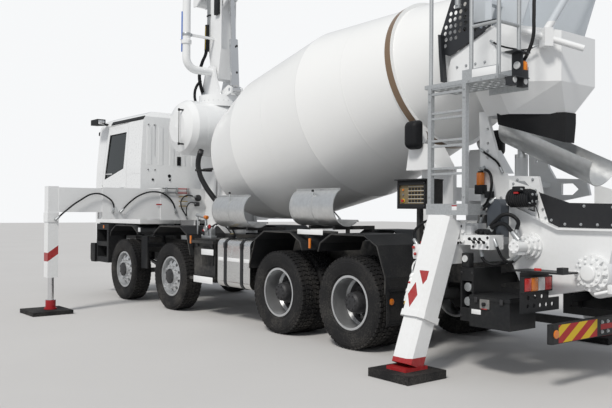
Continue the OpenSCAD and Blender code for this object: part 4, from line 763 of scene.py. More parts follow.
for number, x in enumerate(axle_x, 1):
    for side, word in SIDES:
        wheel = f"wheel_{number}_{word}"
        driven = number > 2
        face = track_y + (-0.155 if driven else 0.1045)
        nuts = circle_of(wheel_nut, f"wheel_nuts_{number}_{word}", 10, 0.1675, (x, side * face, axle_z),
                         side, 0.0)
        done(nuts, dark_steel if driven else wheel_silver, wheel, 25)
        if driven:
            lathe(f"hub_flange_{number}_{word}", (x, side * (track_y + 0.030), axle_z),
                  [(0.020, 0.074), (0.045, 0.0735), (0.052, 0.0712), (0.092, 0.0700), (0.096, 0.067),
                   (0.102, 0.052), (0.1085, 0.050), (0.1115, 0.046), (0.119, 0.006)],
                  dark_steel, wheel, side=side)
            count, radius, face = 8, 0.076, track_y + 0.1005
        else:
            lathe(f"hub_cap_{number}_{word}", (x, side * track_y, axle_z),
                  [(0.010, 0.1705), (0.040, 0.1700), (0.058, 0.1675), (0.062, 0.1655), (0.069, 0.1640),
                   (0.088, 0.1590), (0.1155, 0.1515), (0.118, 0.1460)], dark_steel, wheel, side=side)
            count, radius, face = 6, 0.096, track_y + 0.1555
        hub_bolts = circle_of(small_bolt, f"hub_bolts_{number}_{word}", count, radius,
                              (x, side * face, axle_z), side)
        done(hub_bolts, dark_steel, wheel, 25)
bpy.data.objects.remove(wheel_nut)

# %% [markdown]
# The rear corner is full of small hydraulic parts. Each rear leg has a fitting with red caps on
# the front of its sleeve, two hoses from the frame and a relief valve in a tube below. The valve
# block has levers, coils and a bundle of hoses that runs under the hopper to the agitator's motor.

# %% Lines of the rear legs and the valve block
ball = turned("ball_master", (0, 0, 0), [(0.0004, -0.016), (0.009, -0.0132), (0.0147, -0.006), (0.016, 0.0),
              (0.0147, 0.006), (0.009, 0.0132), (0.0004, 0.016)], sides=20)
outward(ball)


def knob(name, x, y, z, finish, size=1.0):
    """A copy of the small ball."""
    scale = Matrix.Scale(size, 4)
    place = Matrix.Translation((x, y, z)) @ Matrix.Translation(at(0, 0, 0)) @ scale @ to_origin
    return done(copied(ball, name, place), finish, smooth=60)


def bolts(name, places, facing, finish, scale=1.0):
    """Copies of the small bolt, which points along +Y, at places, turned by a matrix."""
    copies = []
    for k, place in enumerate(places):
        move = Matrix.Translation(at(*place)) @ facing @ Matrix.Scale(scale, 4) @ to_origin
        copies.append(copied(small_bolt, f"{name}_{k}", move))
    return group(name, copies, finish)


def moved(piece, place, facing):
    """A lathe's piece, turned by a matrix and taken to its place in its mesh."""
    piece.data.transform(Matrix.Translation(at(*place)) @ facing @ to_origin)
    return outward(piece)


def around(x, z, y, radius, count, start_angle=0.0):
    """Places on a circle that faces along Y."""
    angles = [start_angle + 2 * math.pi * k / count for k in range(count)]
    return [(x + radius * math.cos(angle), y, z + radius * math.sin(angle)) for angle in angles]


valve_x = -7.104
to_left, to_rear = Matrix.Identity(4), Matrix.Rotation(math.pi / 2, 4, "Z")
upwards = Matrix.Rotation(math.pi / 2, 4, "X")

for side, word in SIDES:
    fitting = block(f"leg_fitting_{word}", (-7.139, side * 1.25, 1.10), (-7.05, side * 1.39, 1.245), 0.006)
    pick(fitting, lambda centre, normal: normal.x > 0.9)
    bpy.ops.mesh.inset(thickness=0.012)
    bpy.ops.mesh.extrude_region_move(TRANSFORM_OT_translate={"value": (0.012, 0, 0)})
    done(fitting, white_paint)
    for number, (y, z) in enumerate(((1.405, 1.215), (1.405, 1.15), (1.33, 1.262))):
        knob(f"leg_cap_{word}_{number}", -7.07 - 0.02 * number, side * y, z, red_paint)
    hose(f"leg_hose_a_{word}", [(-7.24, side * 1.0, 1.43), (-7.13, side * 1.2, 1.49),
                                (-7.02, side * 1.31, 1.40), (-7.0, side * 1.34, 1.31),
                                (-7.065, side * 1.35, 1.245)], 0.0135)
    hose(f"leg_hose_b_{word}", [(-7.22, side * 1.0, 1.40), (-7.14, side * 1.16, 1.44),
                                (-7.09, side * 1.26, 1.37), (-7.10, side * 1.28, 1.245)], 0.0115)
    hose(f"leg_tube_{word}", [(-7.08, side * 1.35, 1.10), (-7.06, side * 1.39, 1.05),
                              (-7.08, side * 1.43, 0.99), (valve_x, side * 1.448, 0.955)], 0.009,
         finish=white_paint)
    valve = [rod("valve_body", (valve_x, side * 1.446, 0.96), (valve_x, side * 1.55, 0.69), 0.021, 20),
             rod("valve_hex", (valve_x, side * 1.452, 0.945), (valve_x, side * 1.463, 0.916), 0.029, 6),
             rod("valve_hex_2", (valve_x, side * 1.505, 0.807), (valve_x, side * 1.516, 0.778), 0.029, 6),
             block("valve_clamp_1", (-7.139, side * 1.455, 0.86), (-7.085, side * 1.495, 0.885)),
             block("valve_clamp_2", (-7.139, side * 1.51, 0.72), (-7.085, side * 1.55, 0.745))]
    group(f"leg_valve_{word}", valve, white_paint)
    done(rod(f"leg_valve_band_{word}", (valve_x, side * 1.478, 0.877), (valve_x, side * 1.486, 0.856),
             0.0225, 20), red_paint)
    done(rod(f"leg_valve_end_{word}", (valve_x, side * 1.548, 0.695), (valve_x, side * 1.562, 0.66), 0.013,
             12), brass)

# Levers and coils of the valve block
for number, x in enumerate((-7.60, -7.66, -7.72)):
    lever = [rod("lever_arm", (x, 1.12, 1.278), (x - 0.012, 1.205, 1.312), 0.006, 12),
             rod("lever_boot", (x, 1.118, 1.276), (x, 1.14, 1.283), 0.014, 16)]
    group(f"lever_{number}", lever, black_plastic)
    knob(f"lever_knob_{number}", x - 0.013, 1.212, 1.314, black_plastic)
for number, x in enumerate((-7.58, -7.635, -7.69)):
    coil = [block("coil_body", (x - 0.022, 0.93, 1.349), (x + 0.022, 1.03, 1.405), 0.006),
            rod("coil_core", (x, 1.02, 1.377), (x, 1.075, 1.377), 0.014, 16),
            rod("coil_nut", (x, 1.052, 1.377), (x, 1.068, 1.377), 0.019, 6)]
    group(f"coil_{number}", coil, black_plastic)
done(block("valve_cover", (-7.532, 1.001, 1.346), (-7.472, 1.09, 1.44), 0.008), white_paint)
bolts("valve_block_bolts", [(-7.42, 1.1, 1.43), (-7.42, 1.1, 1.27), (-7.57, 1.1, 1.235),
                            (-7.74, 1.1, 1.235), (-7.74, 1.1, 1.325)], to_left, dark_steel)
done(block("gauge_box", (-7.54, 1.05, 1.032), (-7.45, 1.128, 1.17), 0.008), black_plastic)
lathe("gauge", (-7.495, 1.127, 1.115), [(0.0004, 0.0), (0.033, 0.0), (0.034, 0.008), (0.031, 0.012),
      (0.028, 0.009), (0.0004, 0.009)], clear_lens, sides=32)

# The bundle of hoses behind the valve block
bundle = [
    ("a", 0.019, [(-7.62, 0.98, 1.35), (-7.70, 0.95, 1.47), (-7.80, 0.90, 1.55), (-7.90, 0.86, 1.50),
                  (-7.96, 0.95, 1.40), (-7.985, 1.0, 1.318)]),
    ("b", 0.019, [(-7.64, 1.0, 1.35), (-7.73, 1.0, 1.43), (-7.83, 0.98, 1.46), (-7.93, 1.0, 1.40),
                  (-8.02, 1.01, 1.318)]),
    ("c", 0.014, [(-7.76, 1.02, 1.30), (-7.80, 1.02, 1.22), (-7.84, 0.98, 1.12), (-7.90, 0.93, 1.10),
                  (-7.97, 0.92, 1.16)]),
    ("d", 0.016, [(-7.60, 1.02, 1.21), (-7.63, 1.03, 1.12), (-7.70, 1.0, 1.07), (-7.78, 0.92, 1.08),
                  (-7.82, 0.82, 1.12)]),
    ("e", 0.013, [(-7.52, 0.93, 1.46), (-7.54, 0.93, 1.56), (-7.60, 0.92, 1.64), (-7.66, 0.88, 1.70)]),
]
for word, radius, route in bundle:
    hose(f"valve_hose_{word}", route, radius)

# %% [markdown]
# The agitator's motor and the outlet's housing are painted over, bolts and all. The vibrator on
# the corner plate has cooling ribs, a red name plate without words and a looped cable.

# %% Trim of the pump hopper
for radius, y, size in ((0.118, 0.804, 1.2), (0.096, 0.849, 1.0), (0.072, 0.898, 0.8)):
    bolts(f"motor_bolts_{int(y * 1000)}", around(-8.0, 1.25, y, radius, 8, 0.2), to_left, white_paint,
          scale=size)
motor_top = [block("motor_ports", (-8.04, 0.94, 1.29), (-7.96, 1.03, 1.322), 0.006),
             block("motor_foot", (-8.035, 0.91, 1.17), (-7.965, 1.02, 1.20), 0.006)]
group("motor_port_block", motor_top, white_paint)
bolts("motor_end_bolts", around(-8.0, 1.25, 1.05, 0.042, 5, 0.3), to_left, white_paint, scale=0.9)
bolts("outlet_bolts", around(-8.65, 1.04, 0.875, 0.098, 10), to_left, white_paint, scale=1.1)
bolts("outlet_ring_bolts", around(-8.65, 1.04, 0.83, 0.145, 8, 0.39), to_left, white_paint, scale=1.3)
lathe("outlet_cap", (-8.65, 0.874, 1.04), [(0.0004, 0.0), (0.07, 0.0), (0.07, 0.022), (0.062, 0.03),
      (0.03, 0.034), (0.0004, 0.034)], white_paint, sides=48)
lock = [rod("lock_bar", (-8.83, 0.80, 0.90), (-8.70, 0.865, 0.86), 0.014, 16),
        block("lock_ear", (-8.86, 0.77, 0.87), (-8.80, 0.83, 0.95), 0.006)]
group("outlet_lock", lock, white_paint)

ribs = []
for k in range(9):  # cooling ribs along the motor
    x = -8.055 + 0.0245 * k
    ribs.append(rod(f"vibrator_rib_{k}", (x, 0.875, 1.705), (x + 0.009, 0.875, 1.705), 0.089, 40, 0.03))
group("vibrator_ribs", ribs, black_paint)
done(block("vibrator_terminal_box", (-8.02, 0.90, 1.765), (-7.92, 0.975, 1.815), 0.01), black_plastic)
done(block("vibrator_plate", (-7.985, 0.9465, 1.745), (-7.935, 0.969, 1.763), 0.002), red_paint)
end_bolts = [(-8.1, 0.875 + 0.045 * math.cos(angle), 1.705 + 0.045 * math.sin(angle))
             for angle in (0.8, 2.36, 3.93, 5.5)]
bolts("vibrator_end_bolts", end_bolts, to_rear, zinc)
hose("vibrator_cable", [(-8.02, 0.97, 1.79), (-8.11, 0.985, 1.76), (-8.155, 0.97, 1.68),
                        (-8.13, 0.92, 1.60), (-8.06, 0.82, 1.585), (-7.98, 0.785, 1.60)], 0.0055)
hose("vibrator_cable_2", [(-8.09, 0.94, 1.66), (-8.15, 0.95, 1.64), (-8.17, 0.92, 1.57),
                          (-8.14, 0.86, 1.525), (-8.1, 0.8, 1.53)], 0.0045)
bolts("corner_plate_bolts", [(-7.80, 0.78, 1.85), (-7.80, 0.78, 1.70), (-8.13, 0.78, 1.60),
                             (-8.16, 0.78, 1.52), (-8.05, 0.78, 1.78)], to_left, zinc)
bolts("guard_bolts_left", [(-8.22, 0.78, 1.50), (-8.36, 0.78, 1.465), (-8.52, 0.78, 1.465),
                           (-8.68, 0.78, 1.465), (-8.82, 0.78, 1.465), (-8.82, 0.78, 1.62),
                           (-8.55, 0.78, 1.63)], to_left, zinc)
bolts("guard_bolts_rear", [(-8.85, y, 1.465) for y in (-0.7, -0.45, -0.2, 0.05, 0.3, 0.55, 0.74)], to_rear,
      zinc)

# %% [markdown]
# The tail of the truck: framed lamps with clear ribs, round reflectors, the marker stripes on the
# bumper, a switch plate on the tool box and blank labels.

# %% Lamps, reflectors and labels at the tail
for side, word in SIDES:
    frame_bars = [block(f"bezel_{k}", low, high, 0.003) for k, (low, high) in enumerate((
        ((-8.236, 0.785, 0.848), (-8.198, 1.225, 0.860)), ((-8.236, 0.785, 0.980), (-8.198, 1.225, 0.992)),
        ((-8.236, 0.785, 0.858), (-8.198, 0.795, 0.982)), ((-8.236, 1.215, 0.858), (-8.198, 1.225, 0.982))))]
    bezel = joined(f"lamp_bezel_{word}", frame_bars)
    if side < 0:
        bezel.data.transform(Matrix.Scale(-1, 4, (0, 1, 0)))
        bezel.data.flip_normals()
    done(bezel, black_plastic)
    fields = ((0.848, red_lens), (0.952, clear_lens), (1.058, amber_lens), (1.163, red_lens))
    for number, (y, finish) in enumerate(fields):
        low, high = (-8.238, side * y - 0.049, 0.864), (-8.2295, side * y + 0.049, 0.976)
        done(block(f"lens_{word}_{number}", low, high, 0.003), finish)
    marker = turned(f"bumper_reflector_{word}", (0, 0, 0), [(0.0004, 0.0), (0.038, 0.0), (0.038, 0.006),
                    (0.034, 0.01), (0.0004, 0.013)], sides=40)
    done(moved(marker, (-8.52, side * 1.165, 0.517), to_rear), amber_lens)
    low, high = (-8.35, side * 1.13 - 0.004, 1.05), (-8.28, side * 1.13 + 0.012, 1.075)
    done(block(f"side_marker_{word}", low, high), red_lens)
bolts("bumper_bolts", [(-8.52, y, z) for y in (-0.42, -0.32, 0.32, 0.42) for z in (0.47, 0.56)], to_rear,
      zinc, scale=1.3)

switch = block("switch_plate", (-7.84, 1.189, 0.66), (-7.73, 1.205, 0.75), 0.006)
pick(switch, lambda centre, normal: normal.y > 0.9)
bpy.ops.mesh.inset(thickness=0.012, depth=-0.004)
done(switch, grey_paint)
done(rod("switch_turn", (-7.785, 1.2, 0.705), (-7.785, 1.228, 0.705), 0.017, 24), black_plastic)
done(block("switch_turn_grip", (-7.79, 1.226, 0.686), (-7.78, 1.238, 0.724), 0.003), black_plastic)
done(block("switch_red_edge", (-7.815, 1.2, 0.655), (-7.755, 1.209, 0.664), 0.002), red_paint)
done(block("box_label", (-7.735, 1.1895, 0.60), (-7.625, 1.1925, 0.645), 0.0008), white_paint)
done(block("step_label", (-7.475, 1.2345, 1.585), (-7.415, 1.2375, 1.635), 0.0008), white_paint)
done(block("step_label_edge", (-7.475, 1.2350, 1.624), (-7.415, 1.2382, 1.636), 0.0008), red_paint)
for number, z in enumerate((0.70, 0.84)):
    done(rod(f"lock_slot_tube_{number}", (-7.52, 0.74, z), (-7.52, 1.12, z), 0.045, 24), zinc)
bolts("lock_frame_bolts", [(-7.455, 1.13, 0.98), (-7.585, 1.13, 0.98), (-7.455, 1.13, 0.56),
                           (-7.585, 1.13, 0.56)], to_left, dark_steel)
catches = [block(f"lid_catch_{x}", (x - 0.018, 1.199, 0.715), (x + 0.018, 1.212, 0.765))
           for x in (-7.69, -7.98)]
group("tool_box_catches", catches, dark_steel)

# %% [markdown]
# Between the ladder and the hopper hang the last rubber parts: the skirt under the collector that
# keeps the concrete over the chute, covers over the drum's support rollers, and cables. The
# control box gets its rounded edge, keys and stop button, all without words.

# %% Rubber skirt and roller covers
# The skirt is a box without top, bottom and front. Its lower edge slopes, and its rear wall is
# drawn together into a narrow end.
skirt = start("cube", "collector_skirt", size=1, location=at(-7.665, 0, 2.49), scale=(0.53, 1.03, 0.21))
pick(skirt, lambda centre, normal: normal.x < -0.9)
bpy.ops.mesh.subdivide(number_cuts=1)
pick(skirt, lambda centre, normal: normal.z < -0.9)
bpy.ops.transform.rotate(value=math.radians(21), orient_axis="Y", center_override=at(-7.665, 0, 2.39))
pick(skirt, lambda centre, normal: abs(normal.z) > 0.75 or normal.x > 0.75)
bpy.ops.mesh.delete(type="FACE")
pick(skirt, lambda centre, normal: normal.x < -0.9)
bpy.ops.transform.resize(value=(1, 0.17, 1), center_override=at(-7.93, 0, 2.49))
alone(skirt)
wall = skirt.modifiers.new("wall", "SOLIDIFY")
wall.thickness, wall.offset = 0.008, 1.0
bpy.ops.object.modifier_apply(modifier="wall")
done(skirt, black_rubber)

for side, word in SIDES:
    cover = start("cube", f"roller_cover_{word}", size=1, location=at(-6.45, side * 0.765, 2.43),
                  scale=(0.235, 0.14, 0.35))
    pick(cover, lambda centre, normal: side * normal.y > 0.9)
    bpy.ops.transform.resize(value=(0.72, 1, 0.78), center_override=at(-6.45, side * 0.83, 2.43))
    done(rounded(cover, 0.055, 6), black_rubber, smooth=50)

# %% Control box and cables by the ladder
bezel = [block(name, (x1, 1.146, z1), (x2, 1.162, z2), 0.007) for name, x1, x2, z1, z2 in (
    ("edge_top", -7.0, -6.60, 1.848, 1.892), ("edge_low", -7.0, -6.60, 1.608, 1.652),
    ("edge_rear", -7.0, -6.975, 1.61, 1.89), ("edge_front", -6.625, -6.60, 1.61, 1.89))]
group("control_box_edge", bezel, black_plastic)
key_x, key_z = 0.044, 0.042  # steps between the keys
keys = [block(f"key_{row}_{column}", (-6.955 + key_x * column, 1.134, 1.672 + key_z * row),
              (-6.925 + key_x * column, 1.143, 1.694 + key_z * row), 0.003)
        for row in range(4) for column in range(5)]
group("control_keys", keys, black_plastic)
lines = [block(f"key_line_{row}", (-6.965, 1.134, 1.663 + key_z * row),
               (-6.735, 1.1365, 1.666 + key_z * row), 0.0005) for row in range(5)]
group("control_lines", lines, white_paint)
buttons = [("stop_ring", 1.685, 1.142, 0.024, yellow_film), ("stop_button", 1.685, 1.158, 0.016, red_paint),
           ("green_key", 1.75, 1.146, 0.011, grey_paint), ("amber_key", 1.80, 1.146, 0.011, amber_lens)]
for name, z, out, radius, finish in buttons:
    done(rod(name, (-6.668, 1.134, z), (-6.668, out, z), radius, 24), finish)
done(block("box_hinges", (-6.595, 1.0, 1.66), (-6.584, 1.04, 1.84), 0.004), dark_steel)
bolts("control_box_bolts", [(x, 1.162, z) for x in (-6.987, -6.613) for z in (1.63, 1.87)], to_left,
      dark_steel, scale=0.7)
hose("control_cable", [(-6.80, 1.0, 1.60), (-6.80, 1.0, 1.50), (-6.83, 0.99, 1.40), (-6.84, 0.95, 1.33)],
     0.012)

hose("plate_hose_upper", [(-7.16, 0.475, 2.24), (-7.22, 0.478, 2.20), (-7.30, 0.478, 2.15),
                          (-7.38, 0.476, 2.09), (-7.44, 0.474, 1.99)], 0.011)
hose("plate_hose_lower", [(-7.17, 0.475, 2.03), (-7.24, 0.50, 2.02), (-7.33, 0.54, 1.98),
                          (-7.38, 0.57, 1.90), (-7.38, 0.58, 1.80), (-7.33, 0.56, 1.70),
                          (-7.22, 0.50, 1.63), (-7.16, 0.475, 1.62)], 0.015)
done(block("lube_body", (-7.24, 0.459, 1.76), (-7.14, 0.55, 1.86), 0.008), black_plastic)
done(rod("lube_glass", (-7.19, 0.51, 1.855), (-7.19, 0.51, 1.99), 0.043, 28), amber_lens)
done(rod("lube_cap", (-7.19, 0.51, 1.985), (-7.19, 0.51, 2.005), 0.03, 20), black_plastic)
done(block("junction_box", (-7.33, 0.459, 1.72), (-7.255, 0.53, 1.79), 0.006), black_plastic)
filter_parts = [rod("filter_can", (-7.47, 0.82, 1.47), (-7.47, 0.82, 1.60), 0.055, 32),
                rod("filter_head", (-7.47, 0.82, 1.455), (-7.47, 0.82, 1.48), 0.064, 32),
                block("filter_foot", (-7.50, 0.79, 1.289), (-7.44, 0.87, 1.46), 0.006)]
group("return_filter", filter_parts, grey_paint)

# Cables and lenses at the top
hose("level_cable", [(-7.99, 0.50, 4.385), (-7.99, 0.58, 4.22), (-7.98, 0.66, 3.95), (-8.0, 0.74, 3.65),
                     (-8.03, 0.79, 3.42), (-8.04, 0.82, 3.22), (-8.0, 0.86, 3.06), (-7.96, 0.92, 2.93),
                     (-7.97, 0.95, 2.86)], 0.017)
hose("collector_cable", [(-7.50, 0.748, 3.30), (-7.60, 0.753, 3.24), (-7.70, 0.69, 3.20),
                         (-7.82, 0.60, 3.18), (-7.88, 0.53, 3.22)], 0.009)
lathe("work_lens", (-8.0, 1.0075, 2.945), [(0.0004, 0.0), (0.036, 0.0), (0.038, 0.006), (0.034, 0.012),
                                           (0.0004, 0.017)], clear_lens, sides=36)
for number, y in enumerate((0.92, 1.09)):
    done(rod(f"work_lamp_{number}", (-8.03, y, 2.80), (-8.036, y, 2.80), 0.03, 28), clear_lens)
for number in range(12):
    angle = 2 * math.pi * number / 12
    x, y = -8.0 + 0.0515 * math.cos(angle), 0.94 + 0.0515 * math.sin(angle)
    done(rod(f"beacon_rib_{number}", (x, y, 2.905), (x, y, 2.968), 0.0035, 8), amber_lens)
cap = turned("beacon_cap", (0, 0, 0), [(0.052, 0.0), (0.05, 0.008), (0.036, 0.018), (0.0004, 0.023)],
             sides=40)
done(moved(cap, (-8.0, 0.94, 2.974), upwards), amber_lens)
done(block("deck_plate", (-7.92, 1.2175, 2.855), (-7.64, 1.2205, 2.932), 0.0008), white_paint)
bolts("deck_bolts", [(x, 1.2225, 2.83) for x in (-7.92, -7.75, -7.6)], to_left, zinc, scale=0.8)
bolts("collector_bolts", [(x, 0.74, 3.10) for x in (-7.42, -7.30, -7.18, -7.06)], to_left, zinc, scale=1.1)
bolts("side_plate_bolts", [(-7.245, 0.46, 2.60), (-7.245, 0.46, 2.22), (-7.20, 0.46, 2.05),
                           (-7.42, 0.46, 1.72), (-7.52, 0.46, 1.72), (-7.52, 0.46, 1.60),
                           (-7.62, 0.46, 1.90), (-7.80, 0.46, 1.90)], to_left, zinc, scale=1.2)
for number, x in enumerate((-7.55, -7.11)):
    bolts(f"ladder_bolts_{number}", [(x, 1.225, z) for z in (1.63, 1.72, 2.68, 2.76)], to_left, zinc,
          scale=0.9)

# %% [markdown]
# Round the cab and the front outriggers: the dark strip under the roof's edge, rubber round the
# door windows, handles, the hoses that bow behind the beams, and the steel tubes and swivel on the
# pedestal. A hose that crosses a slide has a sleeve on each of the two bodies.

# %% Cab's outside
cab_y, roof_slope = 1.15, math.atan2(0.065, 0.100)


def cab_side_y(z):
    """How far the cab's side stands out at a height: it leans in above the door's middle."""
    return cab_y - max(0.0, z - 2.30) * 0.0542


for side, word in SIDES:
    strip = start("cube", f"roof_strip_{word}", size=1, location=at(0.19, side * 1.088, 3.168),
                  scale=(1.30, 0.016, 0.075), rotation=(side * roof_slope, 0, 0))
    done(rounded(strip, 0.005), black_plastic, "cab")
    corners = [(0.225, 2.316), (1.022, 2.138), (0.876, 2.950), (0.175, 2.957)]
    seal = []
    for k, (x, z) in enumerate(corners):
        x2, z2 = corners[(k + 1) % 4]
        seal.append(rod(f"seal_{k}", (x, side * (cab_side_y(z) - 0.016), z),
                        (x2, side * (cab_side_y(z2) - 0.016), z2), 0.0125, 12, 0.05))
    group(f"window_seal_{word}", seal, black_rubber, f"door_{word}")
    done(rod(f"window_bar_{word}", (0.985, side * 1.142, 2.232), (0.72, side * 1.142, 2.228), 0.0085, 12),
         white_paint, f"door_{word}")
    grip = [block("grip", (0.15, side * 1.168, 1.93), (0.34, side * 1.186, 1.965), 0.008),
            block("grip_foot_1", (0.155, side * 1.147, 1.935), (0.18, side * 1.175, 1.96)),
            block("grip_foot_2", (0.31, side * 1.147, 1.935), (0.335, side * 1.175, 1.96))]
    group(f"door_handle_{word}", grip, black_plastic, f"door_{word}")
    done(block(f"door_moulding_{word}", (0.14, side * 1.1515 - 0.004, 1.60),
               (1.08, side * 1.1515 + 0.004, 1.66), 0.002), white_paint, f"door_{word}")
    done(block(f"side_indicator_{word}", (0.885, side * 1.21 - 0.008, 1.225),
               (0.925, side * 1.21 + 0.008, 1.285), 0.005), amber_lens)
    done(block(f"mirror_glass_{word}", (0.885, side * 1.285 - 0.06, 3.15),
               (0.894, side * 1.285 + 0.06, 3.225), 0.002), chrome, "cab")

cab_back = -0.47
done(block("rear_slot", (cab_back - 0.012, 0.375, 2.36), (cab_back + 0.004, 0.45, 2.52), 0.01),
     black_rubber, "cab")
plugs = [(0.60, 2.17, 0.03), (0.59, 2.10, 0.018), (0.92, 2.10, 0.02), (1.01, 2.27, 0.012),
         (0.88, 2.27, 0.012), (1.01, 3.05, 0.012), (0.90, 3.05, 0.012)]
for number, (y, z, radius) in enumerate(plugs):
    done(rod(f"rear_plug_{number}", (cab_back + 0.004, y, z), (cab_back - 0.012, y, z), radius, 24),
         black_rubber if radius > 0.013 else grey_paint, "cab")

# %% Sight tube and its fittings on the water tank
done(rod("sight_tube", (-1.40, 0.93, 2.66), (-1.40, 0.93, 3.22), 0.007, 16), grey_paint)
for number, z in enumerate((2.66, 3.22)):
    fitting = [rod("elbow", (-1.40, 0.80, z), (-1.40, 0.935, z), 0.014, 16),
               rod("collar", (-1.40, 0.93, z - 0.02), (-1.40, 0.93, z + 0.02), 0.018, 16)]
    group(f"sight_fitting_{number}", fitting, black_plastic)

# %% Hoses behind the front beams
beam_back = -1.122


def crossing(name, inner, outer, route, side, start_y, end_y, radius=0.0125):
    """A hose laid across two bodies of a slide, with a sleeve on each."""
    route = [(beam_back, side * y, z) for y, z in route]
    line = hose(name, route, radius, None, sleeves=False)
    tuple(at(beam_back, side * start_y, 1.5))
    tuple(at(beam_back, side * end_y, 1.5))
    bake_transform(line)
    for (end, near), body in (((route[0], route[1]), inner), ((route[-1], route[-2]), outer)):
        way = (Vector(near) - Vector(end)).normalized()
        foot = Vector(end) - way * radius
        sleeve = rod(f"{name}.{body}", foot, Vector(end) + way * radius * 5, radius * 1.4, 16)
        port = rod("port", foot, (beam_back + 0.045, end[1], end[2]), radius * 1.5, 12)
        group(f"{name}.{body}", [sleeve, port], zinc, body)


outer_route = ((1.93, 1.54), (1.93, 1.66), (2.04, 1.77), (2.23, 1.82), (2.49, 1.70), (2.68, 1.56),
               (2.84, 1.42))
inner_route = ((0.82, 1.54), (0.88, 1.70), (1.03, 1.83), (1.22, 1.87), (1.45, 1.82), (1.64, 1.70),
               (1.80, 1.54))
for side, word in SIDES:
    crossing(f"beam_hose_outer_{word}", f"stage_1_{word}", f"stage_2_{word}", outer_route, side, 2.05, 2.70)
    crossing(f"beam_hose_inner_{word}", "chassis", f"stage_1_{word}", inner_route, side, 0.95, 1.70)

box_rear = -1.106
for number, z in enumerate((1.93, 1.86)):
    for a, b, finish in ((1.07, 0.80, grey_paint), (0.80, 0.57, red_paint)):
        name = f"steel_tube_{number}_{finish.name}"
        done(rod(name, (box_rear - 0.016, a, z), (box_rear - 0.016, b, z), 0.009, 12), finish)
clips = [block(f"tube_clip_{k}", (box_rear - 0.03, y - 0.012, 1.84), (box_rear + 0.012, y + 0.012, 1.95),
               0.003) for k, y in enumerate((1.0, 0.8, 0.6))]
group("tube_clips", clips, zinc)
for number, z in enumerate((1.80, 1.72, 1.64)):
    start_at, end_at = (box_rear - 0.012, 0.76, z), (box_rear - 0.012, 0.60, z)
    done(rod(f"brass_tube_{number}", start_at, end_at, 0.008, 12), brass)
hose("pedestal_loop_a", [(box_rear - 0.03, 0.46, 1.80), (box_rear - 0.035, 0.62, 1.82),
                         (box_rear - 0.035, 0.73, 1.73), (box_rear - 0.035, 0.72, 1.61),
                         (box_rear - 0.03, 0.64, 1.49), (box_rear - 0.01, 0.60, 1.43)], 0.011)
hose("pedestal_loop_b", [(box_rear - 0.03, 0.43, 1.68), (box_rear - 0.04, 0.56, 1.70),
                         (box_rear - 0.04, 0.63, 1.61), (box_rear - 0.03, 0.62, 1.49),
                         (box_rear - 0.01, 0.60, 1.42)], 0.009)
swivel = [rod("swivel_disc", (box_rear + 0.005, 0.40, 1.78), (box_rear - 0.05, 0.40, 1.78), 0.055, 32),
          rod("swivel_core", (box_rear - 0.04, 0.40, 1.78), (box_rear - 0.08, 0.40, 1.78), 0.032, 24),
          block("swivel_low", (box_rear - 0.05, 0.38, 1.64), (box_rear + 0.005, 0.46, 1.71), 0.008)]
group("swivel_fitting", swivel, dark_steel)
done(block("box_red_label", (box_rear + 0.006, 1.07, 1.652), (box_rear + 0.0095, 1.17, 1.672), 0.0008),
     red_paint)

# %% Suction hose and tank fittings behind the cab
hose("suction_hose", [(-1.60, 0.62, 2.56), (-1.64, 0.70, 2.38), (-1.78, 0.76, 2.18), (-1.98, 0.78, 1.98),
                      (-2.18, 0.76, 1.80), (-2.30, 0.70, 1.66)], 0.042, sleeves=False)
clamps = [rod("clamp_top", (-1.605, 0.635, 2.53), (-1.618, 0.66, 2.48), 0.048, 24),
          rod("clamp_low", (-2.235, 0.735, 1.745), (-2.275, 0.715, 1.70), 0.048, 24)]
group("suction_clamps", clamps, dark_steel)
stay = [block("stay_bar", (-1.95, 0.48, 2.235), (-1.52, 0.54, 2.265), 0.006),
        block("stay_hoop", (-1.80, 0.53, 2.20), (-1.72, 0.81, 2.235), 0.006)]
group("suction_stay", stay, black_paint)

# %% [markdown]
# The boom carries steel tubes along its arms, held by clamps, and two hoses that bow round the
# first pivot. Bolts ring the slewing bearing, and each pipe coupling has its lever.

# %% Tubes and hoses on the boom
mast_x = -1.2
arm_lines = [("arm_1", 0.161, (-1.0, -1.035, -1.07), 4.60, 9.30, (4.95, 5.75, 6.9, 8.1, 9.2)),
             ("arm_2", 0.121, (-0.86, -0.90), 6.0, 9.10, (6.1, 7.1, 8.1, 9.0)),
             ("arm_3", 0.096, (-0.48, -0.52), 6.15, 9.35, (6.3, 7.3, 8.3, 9.3))]
for arm, y, across, low, high, clamps in arm_lines:
    tubes = [rod(f"tube_{x}", (x, y, low), (x, y, high), 0.0095, 12, 0.1) for x in across]
    group(f"{arm}_tubes", tubes, zinc, arm)
    holders = [block(f"holder_{z}", (min(across) - 0.022, y - 0.012, z),
                     (max(across) + 0.022, y + 0.012, z + 0.03), 0.004) for z in clamps]
    group(f"{arm}_clamps", holders, black_plastic, arm)
done(rod("tube_wrap", (-1.02, 0.185, 4.34), (-1.03, 0.180, 4.80), 0.042, 28), black_rubber, "arm_1")
done(rod("tube_wrap_line", (-1.03, 0.226, 4.37), (-1.04, 0.221, 4.77), 0.005, 8), yellow_film, "arm_1")
blue_paint = paint("blue_paint", (0.01, 0.12, 0.5), rough=0.35, dust=0.1)
done(rod("pipe_line", (-1.135, 0.735, 4.24), (-1.135, 0.735, 4.92), 0.016, 16), blue_paint, "arm_1")
done(block("arm_box_left", (-1.39, 0.149, 4.92), (-1.27, 0.205, 5.22), 0.01), black_plastic, "arm_1")
